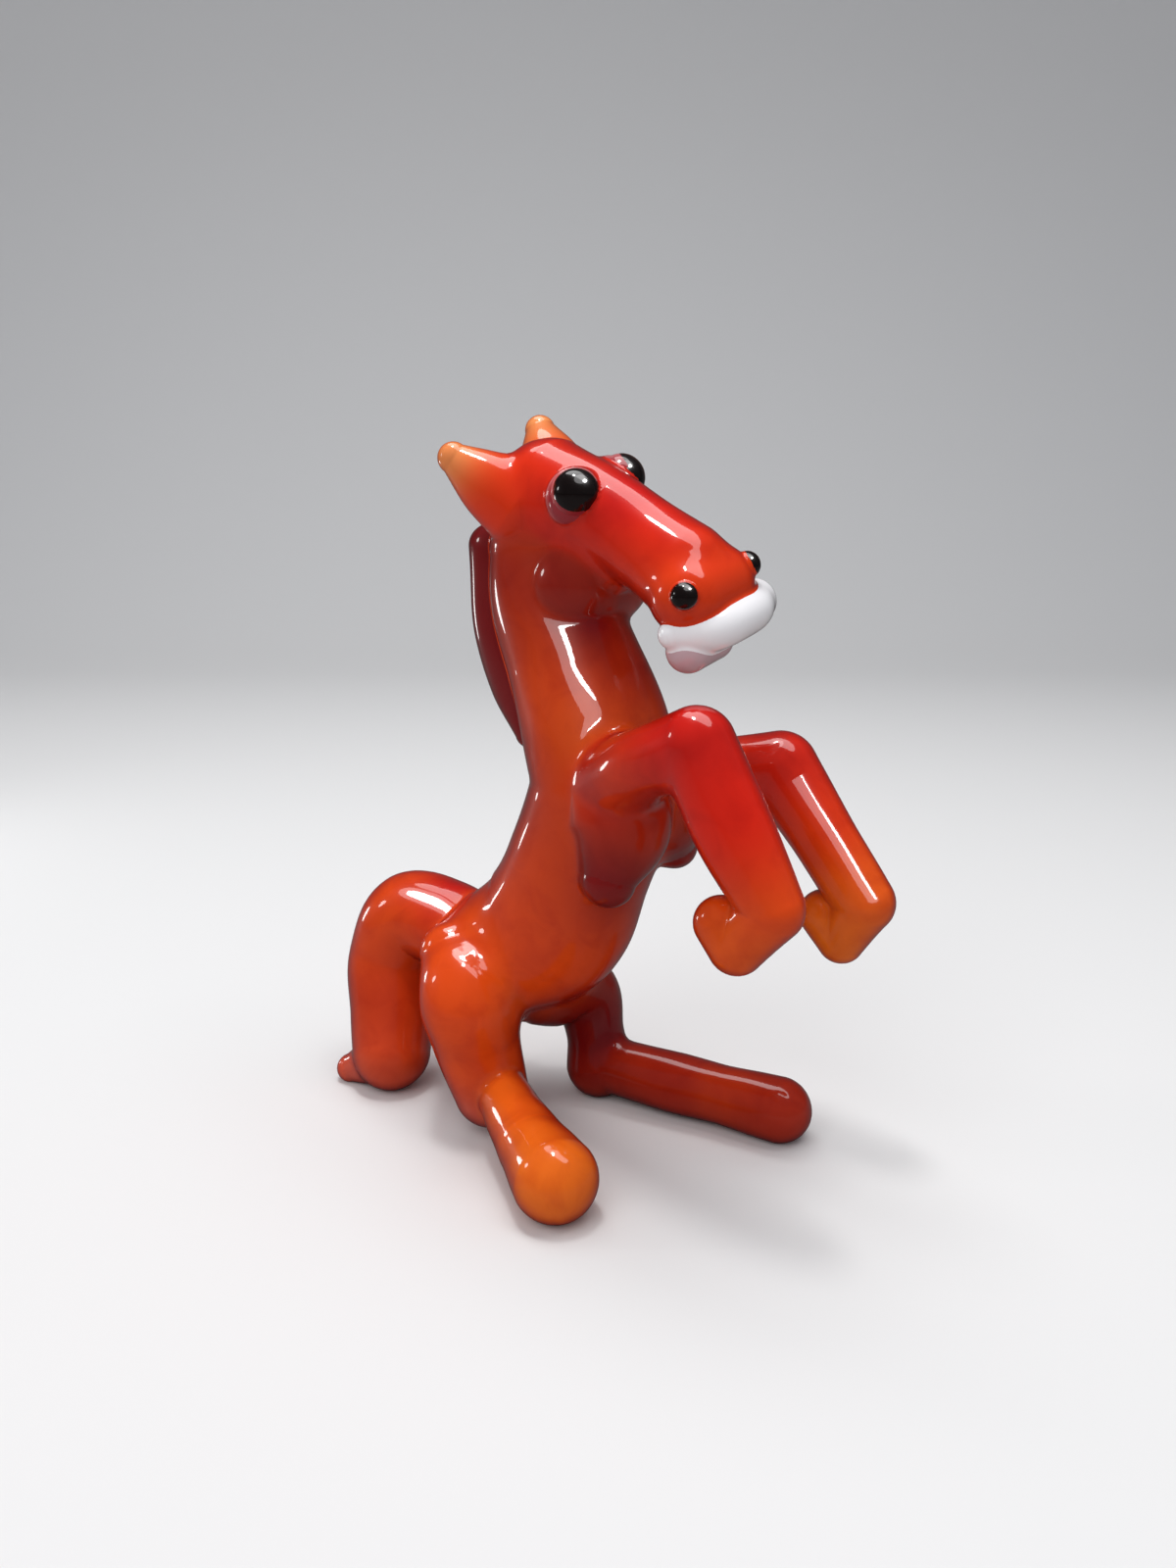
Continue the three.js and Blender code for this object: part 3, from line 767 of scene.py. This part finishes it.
def skin_normals(points):
    """The slope of the common skin, which every piece shares."""
    slope = sum(corner * whole_horse(points + corner * NORMAL_STEP)[0][:, None] for corner in CORNERS)
    return unit(slope + TINY)


print("the way out in front of the chest:", skin_normals(chest_at[None] + (8, 0, 0)).round(2))

# %% [markdown]
# ## Painting the flame, with painted shade and glow
# The maker's rod runs from yellow-orange to deep red. An image could be painted onto it, but a rule of the
# place needs no unwrapping: an orange ground, with soft licks of red, rust-red, wine and amber. The wine
# licks and most rust-red ones are painted shade, under the jaw, down the throat, on the cheek, round the
# shoulders and on the far hind leg. The amber licks paint a glow, as of light through the glass, most of all
# at the hooves. A lick is on one piece, on some or on all, and at the seams the colours of two neighbours
# run into each other.

# %% Colours
def linear(red, green, blue):
    """A colour as a screen shows it, 0 to 255, made linear by the sRGB rule."""
    shares = [value / 255 for value in (red, green, blue)]
    return np.array([((s + 0.055) / 1.055) ** 2.4 if s > 0.04 else s / 12.92 for s in shares])


ORANGE = linear(232, 76, 18)
# painted glow: amber, as of light that shines through the glass
AMBER_GLOW = linear(246, 122, 28)
SCARLET = linear(230, 18, 9)
CRIMSON = linear(204, 2, 20)
# painted shade: a deep wine for the shaded cheek, throat, shoulders and far hind leg
WINE_SHADE = linear(118, 4, 18)
# rust-red: a tone of the glass, and painted shade under the jaw, the muzzle and the arms and on the far hind
# leg
RUST_AND_SHADE = linear(158, 30, 18)
PEACH = linear(246, 158, 92)
ROSE = linear(206, 122, 110)
print("the orange ground, made linear:", ORANGE.round(3))

# %% Licks of colour: centre, reach in millimetres, colour, strength, and how the names of its pieces start
near_fore, far_fore = fore["right"]["at"], fore["left"]["at"]
near_hind, far_hind = hind["right"], hind["left"]
near_thigh, near_eye = near_hind["stations"][1][0], faces["right"]["eye_at"]
far_shank = (far_hind["hoof_at"] + far_hind["knee_at"]) / 2
cheek = on_head(jaw["along"], -3, jaw["above"])

LICKS = [
    (chest_at + (3, -4, 6), 5, AMBER_GLOW, 0.35, "neck"),
    (chest_at + (-5, -4, 0), 8, RUST_AND_SHADE, 0.6, ""),
    # painted shade: rust-red and wine under the jaw, down the throat and on the cheek
    (neck_places[4] + (-1, -4, -2.5), 8.5, RUST_AND_SHADE, 0.85, "neck"),
    (neck_places[2] + (8.5, -1, 0.5), 4.5, RUST_AND_SHADE, 0.8, "neck"),
    (neck_places[2] + (4.5, -3, 4.6), 3.8, WINE_SHADE, 1, "neck"),
    (cheek, 9, WINE_SHADE, 0.97, "jaw"),
    (cheek + (-2, 0, 3.5), 4.5, WINE_SHADE, 0.8, "head"),
    (on_head(0, 0, 0), 7.5, SCARLET, 1, "head"),
    (on_head(9, 0, -1), 7, CRIMSON, 0.95, "head"),
    (on_head(14, 0, -5), 5, SCARLET, 0.9, "head"),
    (on_head(15, 0, -6), 6, SCARLET, 0.75, "muzzle"),
    # painted shade under the muzzle
    (muzzle_gather.table[0, :3] + (-1, 0, -3), 3.2, RUST_AND_SHADE, 0.8, "muzzle"),
    (near_fore["knee"], 9, CRIMSON, 0.95, ""),
    (near_fore["shin"], 6, SCARLET, 0.95, "foreleg"),
    (far_fore["knee"], 6.5, CRIMSON, 1, ""),
    (far_fore["shin"], 4.5, SCARLET, 0.6, "foreleg"),
    # painted glow: amber at the forehooves, as of light through thin glass
    (near_fore["hoof"], 5, AMBER_GLOW, 0.3, ""),
    (far_fore["hoof"], 7, AMBER_GLOW, 0.8, ""),
    (near_fore["shoulder"] + (0, 0, 5), 5, SCARLET, 1, "upper_arm"),
    # painted shade: wine on the shoulder lobes under the arms, and rust-red on the flank below the near one
    (near_fore["shoulder"] + (0, -2, -4), 7.5, WINE_SHADE, 1, "upper_arm_right"),
    (far_fore["shoulder"] + (0, 0, -3), 7.5, WINE_SHADE, 1, "upper_arm_left"),
    (near_fore["lobe"] + (3, 1, -1), 5, RUST_AND_SHADE, 0.7, "torso"),
    (tail_places[1] + (1.5, 0, 3), 4.5, CRIMSON, 0.95, "tail"),
    (trunk_places[1] + (8, -2, 5), 5.5, RUST_AND_SHADE, 0.6, "torso"),
    (tail_places[4], 7.5, RUST_AND_SHADE, 0.75, "tail"),
    (tail_foot_at + (-2, 0, -3.5), 4.5, ROSE, 0.6, "tail"),
    # painted glow: amber on the near hind thigh, hoof and shank
    (near_thigh + (1, 3.5, -0.5), 4, AMBER_GLOW, 0.6, "thigh_right"),
    (near_hind["hoof_at"], 7.5, AMBER_GLOW, 0.9, ""),
    (near_hind["knee_at"] + (4, -3, 0), 6, AMBER_GLOW, 0.6, "shank_right"),
    (near_hind["knee_at"] + (-1, -3, -3), 3.6, ROSE, 0.7, "thigh_right"),
    # painted shade: wine and rust-red on the far hind leg, under the belly
    (far_hind["knee_at"] + (0, 0, 4), 12, WINE_SHADE, 1, "thigh_left"),
    (far_hind["knee_at"], 9, WINE_SHADE, 0.9, "shank_left"),
    (far_hind["hoof_at"], 9, RUST_AND_SHADE, 0.95, "hind_hoof_left"),
    (far_shank, 9, RUST_AND_SHADE, 0.95, "shank_left"),
    (ears["right"].table[0, :3], 5.4, SCARLET, 0.85, "ear_right"),
    (ears["right"].table[-1, :3], 2.8, PEACH, 1, "ear_right"),
    (ears["left"].table[-1, :3], 4.2, PEACH, 1, "ear_left"),
]
print("licks of colour:", len(LICKS))

# %% The colour of a point
BLEED = 0.35  # how far, in millimetres, the colours of two pieces run into each other
BLEED_REACH = 5 * BLEED  # past it hardly any of the neighbour's colour is left
RUNNING = ("body_glass", "ear_glass")  # the glasses that run into each other


def flame(points, name):
    colour = np.tile(ORANGE, (len(points), 1))
    for centre, reach, tint, strength, only in LICKS:
        if name.startswith(only):
            near = strength * np.exp(-((points - centre) ** 2).sum(1) / reach**2)
            colour += (tint - colour) * near[:, None]
    return colour


def melted_colour(points, name):
    """The flame of a piece, which runs into the flame of its neighbours at the seams."""
    row = NAMES.index(name)
    others = beyond_seams(whole_horse(points)[2], row)
    colour = flame(points, name)
    parts = np.ones((len(points), 1))
    for number, neighbour in enumerate(NAMES):
        near = np.flatnonzero(others[number] < BLEED_REACH)
        if number != row and near.size and PIECES[neighbour][1] in RUNNING:
            part = np.exp(-np.maximum(others[number, near], 0) / BLEED)[:, None]
            colour[near] += flame(points[near], neighbour) * part
            parts[near] += part
    return np.hstack([colour / parts, np.ones((len(points), 1))])


print("colour at the near knee:", flame(near_fore["knee"][None], "foreleg_right").round(3))

# %% [markdown]
# ## The glass
# Opal glass is milky inside and glossy outside, under a thin clear casing. Two layers of real glass would
# be noisy and slow, so a Principled shader with a coat gives the gloss. Layer Weight makes the colour darker
# where the skin turns away, and paints a thin pale line of light at the outline, the background seen
# through the casing edge-on. Faint streaks cloud the opal.

# %% A glossy shader
GLASS_IOR = 1.52


def new_material(name):
    material = bpy.data.materials.new(name)
    material.use_nodes = True
    nodes = material.node_tree.nodes
    return material, nodes, material.node_tree.links, nodes["Principled BSDF"]


def set_inputs(node, values):
    for name, value in values.items():
        node.inputs[name].default_value = value


def glossy_skin(shader, roughness):
    """A clear glossy coat over a core of the given roughness."""
    coat = {"Coat Weight": 1.0, "Coat Roughness": 0.02, "Coat IOR": GLASS_IOR}
    set_inputs(shader, {"Roughness": roughness, "Specular IOR Level": 0.1, **coat})


print("the coat mirrors head-on a share of:", round(((GLASS_IOR - 1) / (GLASS_IOR + 1)) ** 2, 3))

# %% Nodes of the cased glasses
STREAK_SCALE = 260  # cloudy streaks to a metre


def colour_mix(nodes, blend_type, second):
    """A colour mix with its second colour set: its factor, first colour and result sockets."""
    mix = nodes.new("ShaderNodeMix")
    mix.data_type = "RGBA"
    mix.blend_type = blend_type
    sockets = {socket.identifier: socket for socket in [*mix.inputs, *mix.outputs]}
    sockets["B_Color"].default_value = (*second, 1)
    return sockets["Factor_Float"], sockets["A_Color"], sockets["Result_Color"]


def facing_band(nodes, links, low, high, top=1.0):
    """From 0 to top as the skin turns away from the viewer between low and high."""
    weight = nodes.new("ShaderNodeLayerWeight")
    set_inputs(weight, {"Blend": 0.5})
    band = nodes.new("ShaderNodeMapRange")
    band.interpolation_type = "SMOOTHSTEP"
    set_inputs(band, {"From Min": low, "From Max": high, "To Max": top})
    links.new(weight.outputs["Facing"], band.inputs["Value"])
    return band.outputs["Result"]


def drawn_streaks(nodes, links, strength):
    """Faint cloudy streaks of the opal, as a share from 0 to strength."""
    place = nodes.new("ShaderNodeTexCoord")
    cloud = nodes.new("ShaderNodeTexNoise")
    set_inputs(cloud, {"Scale": STREAK_SCALE, "Detail": 4, "Distortion": 0.8})
    share = nodes.new("ShaderNodeMapRange")
    set_inputs(share, {"From Min": 0.42, "From Max": 0.72, "To Max": strength})
    links.new(place.outputs["Object"], cloud.inputs["Vector"])
    links.new(cloud.outputs["Fac"], share.inputs["Value"])
    return share.outputs["Result"]


print("the cloudy streaks are apart by about, in mm:", round(1 / STREAK_SCALE / MM, 1))


# %% Glass in a clear casing
def cased(name, edge, rim, rim_strength=0.5, rim_from=0.86, colour=None, streaks=0.0):
    """Opal glass in a clear casing: edge is the tint near the outline and rim the thin line of painted light
    at it.
    """
    material, nodes, links, shader = new_material(name)
    glossy_skin(shader, roughness=0.3)
    if colour is None:
        core = nodes.new("ShaderNodeAttribute")
        core.attribute_name = "colour_with_painted_light"
    else:
        core = nodes.new("ShaderNodeRGB")
        core.outputs["Color"].default_value = (*colour, 1)
    streak, plain_in, streaked = colour_mix(nodes, "MULTIPLY", (0.72, 0.42, 0.5))
    band, core_in, darker = colour_mix(nodes, "MULTIPLY", edge)
    line, darker_in, paler = colour_mix(nodes, "MIX", rim)
    links.new(core.outputs["Color"], plain_in)
    links.new(drawn_streaks(nodes, links, streaks), streak)
    links.new(streaked, core_in)
    links.new(facing_band(nodes, links, 0.35, 0.9), band)
    links.new(darker, darker_in)
    # a thin pale line of painted light where the skin turns away
    links.new(facing_band(nodes, links, rim_from, 0.97, rim_strength), line)
    links.new(paler, shader.inputs["Base Color"])
    return material


# %% Glass of one colour, which may let some light through
def plain_glass(name, colour, roughness, transmission=0.0):
    material, _, _, shader = new_material(name)
    glossy_skin(shader, roughness)
    set_inputs(shader, {"Base Color": (*colour, 1), "Transmission Weight": transmission, "IOR": 1.45})
    return material


# %% The seven glasses
CLEAR = (1, 1, 1)
GLASS = {
    # rims: a pale line of painted light at the outline, the background seen through the casing edge-on
    "body_glass": cased("flame_glass", (0.62, 0.26, 0.3), linear(226, 110, 96), streaks=0.5),
    "mane_glass": cased("wine_glass", (0.6, 0.5, 0.5), linear(150, 70, 70), colour=linear(124, 22, 24)),
    "ear_glass": cased("pale_orange_glass", (0.85, 0.6, 0.5), linear(245, 190, 160), rim_strength=0.8),
    "white_glass": plain_glass("white_opal_glass", linear(252, 250, 252), 0.25),
    "milk_glass": plain_glass("milky_pink_glass", linear(236, 200, 206), 0.12, 0.3),
    "casing_glass": cased("clear_pink_casing", CLEAR, linear(226, 150, 152), 0.9, 0.45, linear(160, 44, 52)),
    # the beads' warm rim is a painted reflection of the red body round them
    "black_glass": cased("black_bead_glass", CLEAR, linear(104, 34, 22), 0.6, 0.6, linear(16, 5, 4)),
}
print("glasses:", ", ".join(GLASS))

# %% [markdown]
# ## Making the pieces
# The drawing has its own origin, and the frame's origin is the middle of the footprint. The torso is the
# first piece and nothing cuts it, so the two are lined up by its box. Then one function makes any piece:
# bend it, settle it on the skin, paint it, and name it for the frame.

# %% From the drawing to the frame
def box_middle(low, high):
    return (np.array(low) + np.array(high)) / 2


shift = box_middle(*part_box("torso")) / MM - box_middle(plain_torso.min(0), plain_torso.max(0))
shift[2] = 0
print("the drawing's origin in the frame, in mm:", shift.round(3))

# %% How close the points of each piece are, in millimetres
SPACING = {"body_glass": 0.3, "mane_glass": 0.25, "ear_glass": 0.2}
FINE_SPACING = 0.15
CLOSER = {"muzzle": 0.18, "jaw": 0.22, "head": 0.24, "torso": 0.26}
CLOSER |= {"upper_arm_right": 0.19, "upper_arm_left": 0.22}
SPACINGS = {name: CLOSER.get(name, SPACING.get(PIECES[name][1], FINE_SPACING)) for name in NAMES}
print("closest and widest spacing, in mm:", min(SPACINGS.values()), max(SPACINGS.values()))


# %% Two gathers of one piece made one
def add_object(name, data):
    thing = bpy.data.objects.new(name, data)
    bpy.context.collection.objects.link(thing)
    return thing


def joined_shells(shells, spacing):
    """Several closed shells made one, by a voxel remesh."""
    whole = bmesh.new()
    for shell in shells:
        whole.from_mesh(shell)
    thing = add_object("shells", as_mesh("shells", whole))
    remesh = thing.modifiers.new("one_body", "REMESH")
    remesh.mode = "VOXEL"
    remesh.voxel_size = spacing
    done = bpy.data.meshes.new_from_object(thing.evaluated_get(bpy.context.evaluated_depsgraph_get()))
    bpy.data.objects.remove(thing)
    return done


# %% One finished piece
def make_piece(name):
    gathers, glass_name, _ = PIECES[name]
    shells = [bent_sphere(gather, SPACINGS[name]) for gather in gathers]
    mesh = shells[0] if len(shells) == 1 else joined_shells(shells, SPACINGS[name])
    points, hidden = settled(mesh_points(mesh), NAMES.index(name))
    normals = skin_normals(points)
    normals[hidden] = 0
    move_points(mesh, (points + shift) * MM)
    mesh.polygons.foreach_set("use_smooth", [True] * len(mesh.polygons))
    # the flame with its painted shade and glow, as a colour on each point
    paint = mesh.color_attributes.new("colour_with_painted_light", "FLOAT_COLOR", "POINT")
    paint.data.foreach_set("color", melted_colour(points, name).astype(np.float32).ravel())
    mesh.update()
    mesh.normals_split_custom_set_from_vertices([tuple(n) for n in normals])
    mesh.materials.append(GLASS[glass_name])
    piece = add_object(name + "_melted", mesh)
    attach(piece, "root")
    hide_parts(name)
    return piece


made = {name: make_piece(name) for name in NAMES}
print("pieces:", len(made), "faces:", sum(len(piece.data.polygons) for piece in made.values()))

# %% [markdown]
# ## Floor and backdrop
# The glass mirrors what is round it, so the stage is simple: a pale floor that curves up into a backdrop.
# Two planes would leave a line at the horizon. The glass sees the stage darker than the eye does, which
# keeps its colour deep.

# %% The viewer's own directions
CAMERA_AZIMUTH = math.radians(34)
CAMERA_PITCH = math.radians(14)
to_right = Vector((math.cos(CAMERA_AZIMUTH), math.sin(CAMERA_AZIMUTH), 0))
to_back = Vector((-math.sin(CAMERA_AZIMUTH), math.cos(CAMERA_AZIMUTH), 0))
upward = (Vector((0, 0, 1)) + to_back * math.tan(CAMERA_PITCH)).normalized()
to_viewer = to_right.cross(upward)
print("towards the viewer:", [round(part, 2) for part in to_viewer])

# %% Outline of the stage: how far back and how high
FLOOR_HALF = 2.5  # to each side, and in front
FLOOR_BACK = 0.55
BACKDROP_HIGH = 0.9
CURVE_RADIUS = 0.25
CURVE_STEPS = 12

bend_starts = FLOOR_BACK - CURVE_RADIUS
profile = [(-FLOOR_HALF, 0.0), (bend_starts, 0.0)]
for step in range(1, CURVE_STEPS + 1):
    angle = math.pi / 2 * step / CURVE_STEPS
    profile.append((bend_starts + CURVE_RADIUS * math.sin(angle), CURVE_RADIUS * (1 - math.cos(angle))))
profile.append((FLOOR_BACK, BACKDROP_HIGH))
print("points in the outline of the stage:", len(profile))

# %% The stage's colour, by who looks at it
STAGE_COLOUR = (0.5, 0.49, 0.48)
STAGE_TO_THE_EYE = (0.8, 0.795, 0.79)
STAGE_IN_GLASS = (0.12, 0.11, 0.11)


def stage_material():
    material, nodes, links, shader = new_material("pale_stage")
    rays = nodes.new("ShaderNodeLightPath")
    mirrored, lit_by, dark = colour_mix(nodes, "MIX", STAGE_IN_GLASS)
    lit_by.default_value = (*STAGE_COLOUR, 1)
    looked_at, dark_in, pale = colour_mix(nodes, "MIX", STAGE_TO_THE_EYE)
    links.new(rays.outputs["Is Glossy Ray"], mirrored)
    links.new(dark, dark_in)
    links.new(rays.outputs["Is Camera Ray"], looked_at)
    links.new(pale, shader.inputs["Base Color"])
    set_inputs(shader, {"Roughness": 0.9})
    return material


# %% Stage, square to the camera
def stage_sheet():
    sheet = bmesh.new()
    places = [to_back * y - to_right * FLOOR_HALF + Vector((0, 0, z)) for y, z in profile]
    row = [sheet.verts.new(place) for place in places]
    edges = [sheet.edges.new(ends) for ends in zip(row, row[1:])]
    drawn = bmesh.ops.extrude_edge_only(sheet, edges=edges)["geom"]
    far_row = [part for part in drawn if isinstance(part, bmesh.types.BMVert)]
    bmesh.ops.translate(sheet, verts=far_row, vec=to_right * 2 * FLOOR_HALF)
    bmesh.ops.recalc_face_normals(sheet, faces=sheet.faces)
    mesh = as_mesh("backdrop", sheet)
    mesh.polygons.foreach_set("use_smooth", [True] * len(mesh.polygons))
    thing = add_object("backdrop", mesh)
    mesh.materials.append(stage_material())
    return thing


print("faces of the stage:", len(stage_sheet().data.polygons))

# %% [markdown]
# ## Light
# Glass shows what it mirrors. A wide softbox overhead gives the broad pink reflections, a small bright
# one in it their white cores, and two small ones at the left the thin streaks down the neck and the back.
# More lamps on everything would wash the colour out, so each other highlight has lamps that only its own
# pieces mirror.

# %% A softbox, placed as the viewer sees it
horse_middle = Vector((0, 0, 0.035))


def softbox(name, right, above, near, distance, wide, high, strength, at=horse_middle):
    """A round-ended area light, at a distance from a place in the direction that the viewer sees."""
    lamp = bpy.data.lights.new(name, "AREA")
    lamp.shape = "ELLIPSE"
    lamp.size = wide
    lamp.size_y = high
    lamp.energy = strength * math.pi * (math.pi / 4 * wide * high)
    thing = add_object(name, lamp)
    way = (to_right * right + upward * above + to_viewer * near).normalized()
    thing.location = at + way * distance
    thing.rotation_euler = way.to_track_quat("Z", "Y").to_euler()
    thing.visible_camera = False
    return thing


# %% Lights for the whole horse: right, above, near, distance, wide, high and strength
WHOLE_LIGHTS = {
    "overhead_window": (0.1, 0.97, 0.13, 0.34, 0.5, 0.19, 3.4),
    "overhead_core": (-0.08, 0.94, 0.25, 0.31, 0.068, 0.04, 30),
    "back_window": (-0.86, 0.07, -0.5, 0.19, 0.023, 0.034, 9),
    "left_window": (-0.95, 0.33, 0, 0.3, 0.04, 0.056, 9),
    "soft_fill": (-0.3, 0.55, 0.78, 0.6, 0.5, 0.5, 1.85),
}
whole_lights = {name: softbox(name, *values) for name, values in WHOLE_LIGHTS.items()}
whole_lights["soft_fill"].visible_glossy = False
print("lights for the whole horse:", len(whole_lights))

# %% Lights for single pieces
WINDOW = dict(distance=0.3, strength=3.0)
CORE = dict(distance=0.29, strength=26.0)
BEAD_CORE = dict(distance=0.29, strength=60.0)


def in_frame(place):
    return Vector((place + shift) * MM)


def only_on(names, lamp):
    """Let a light reach some pieces and nothing else."""
    reached = bpy.data.collections.new(lamp.name + "_reaches")
    for name in names:
        reached.objects.link(made[name])
    lamp.light_linking.receiver_collection = reached


def highlight(names, place, window, core, core_light=CORE):
    """A pale window and its white core, seen in the gloss of some pieces only."""
    for kind, light, (*way, wide, high) in (("window", WINDOW, window), ("core", core_light, core)):
        lamp = softbox(f"{names[0]}_{kind}", *way, wide=wide, high=high, at=in_frame(place), **light)
        only_on(names, lamp)
        lamp.visible_diffuse = False


# %% Highlights: the pieces, the place, and of window and core right, above, near, wide and high
BEADS = ["pupil_right", "pupil_left", "nostril_right", "nostril_left"]
HIGHLIGHTS = (
    (["neck"], neck_places[2], (-0.435, 0.122, 0.892, 0.27, 0.066), (-0.384, 0.191, 0.904, 0.15, 0.018)),
    (["foreleg_left"], far_fore["shin"], (0.33, 0.24, 0.91, 0.24, 0.12), (0.5, 0.32, 0.8, 0.056, 0.034)),
    (["foreleg_right"], near_fore["knee"], (0.05, 0.85, 0.48, 0.16, 0.11), (-0.12, 0.89, 0.42, 0.056, 0.034)),
    (
        ["upper_arm_left", "foreleg_left"],
        far_fore["knee"],
        (-0.1, 0.95, 0.2, 0.16, 0.11),
        (-0.17, 0.97, 0.05, 0.056, 0.04),
    ),
    (["thigh_right"], near_thigh, (-0.05, 1.0, -0.1, 0.18, 0.18), (0.0, 1.0, 0.0, 0.09, 0.056)),
    (["tail"], tail_places[1], (-0.48, 0.82, 0.3, 0.23, 0.16), (-0.48, 0.82, 0.3, 0.11, 0.08)),
    (BEADS, near_eye, (0.3, 0.75, 0.45, 0.32, 0.23), (0.55, 0.67, 0.42, 0.1, 0.065), BEAD_CORE),
)
for values in HIGHLIGHTS:
    highlight(*values)
print("highlights:", len(HIGHLIGHTS))

# %% A fill for the lips, which the body would leave in shade
lip_light = dict(distance=0.3, wide=0.23, high=0.23, strength=0.8)
lip_fill = softbox("lip_fill", right=0.5, above=-0.3, near=0.8, at=in_frame(near_eye), **lip_light)
only_on(["upper_lip", "lower_lip"], lip_fill)
lip_fill.visible_glossy = False
print("strength of the lips' fill, in watts:", round(lip_fill.data.energy, 3))

# %% [markdown]
# ## Sky and camera
# A plain pale sky lights what the lamps miss, and the glass mirrors it darker, as it does the stage. The
# camera stands where the photographer stood, as the horse's outline tells.

# %% The world round the stage
SKY_COLOUR = (0.9, 0.93, 1.0)
SKY_LIGHT = 0.38
SKY_IN_GLASS = 0.08
world = bpy.data.worlds.new("studio")
bpy.context.scene.world = world
world.use_nodes = True
sky = world.node_tree.nodes["Background"]
set_inputs(sky, {"Color": (*SKY_COLOUR, 1)})
rays = world.node_tree.nodes.new("ShaderNodeLightPath")
dimmer = world.node_tree.nodes.new("ShaderNodeMapRange")
set_inputs(dimmer, {"To Min": SKY_LIGHT, "To Max": SKY_IN_GLASS})
world.node_tree.links.new(rays.outputs["Is Glossy Ray"], dimmer.inputs["Value"])
world.node_tree.links.new(dimmer.outputs["Result"], sky.inputs["Strength"])
print("the sky lights by, and shows in glass by:", SKY_LIGHT, SKY_IN_GLASS)

# %% Camera, where the photographer stood
CAMERA_AT = np.array([72.0, -99.3, 65.8])  # in the drawing, in millimetres
camera_data = bpy.data.cameras.new("camera")
camera_data.lens = 29.25
camera_data.sensor_width = 36
camera_data.clip_start = 0.01
camera = add_object("camera", camera_data)
camera.location = (CAMERA_AT + shift) * MM
camera.rotation_euler = (math.pi / 2 - CAMERA_PITCH, 0, CAMERA_AZIMUTH)
bpy.context.scene.camera = camera
bpy.context.scene.view_settings.view_transform = "Standard"
print("the camera is away by, in m:", round(camera.location.length, 3))
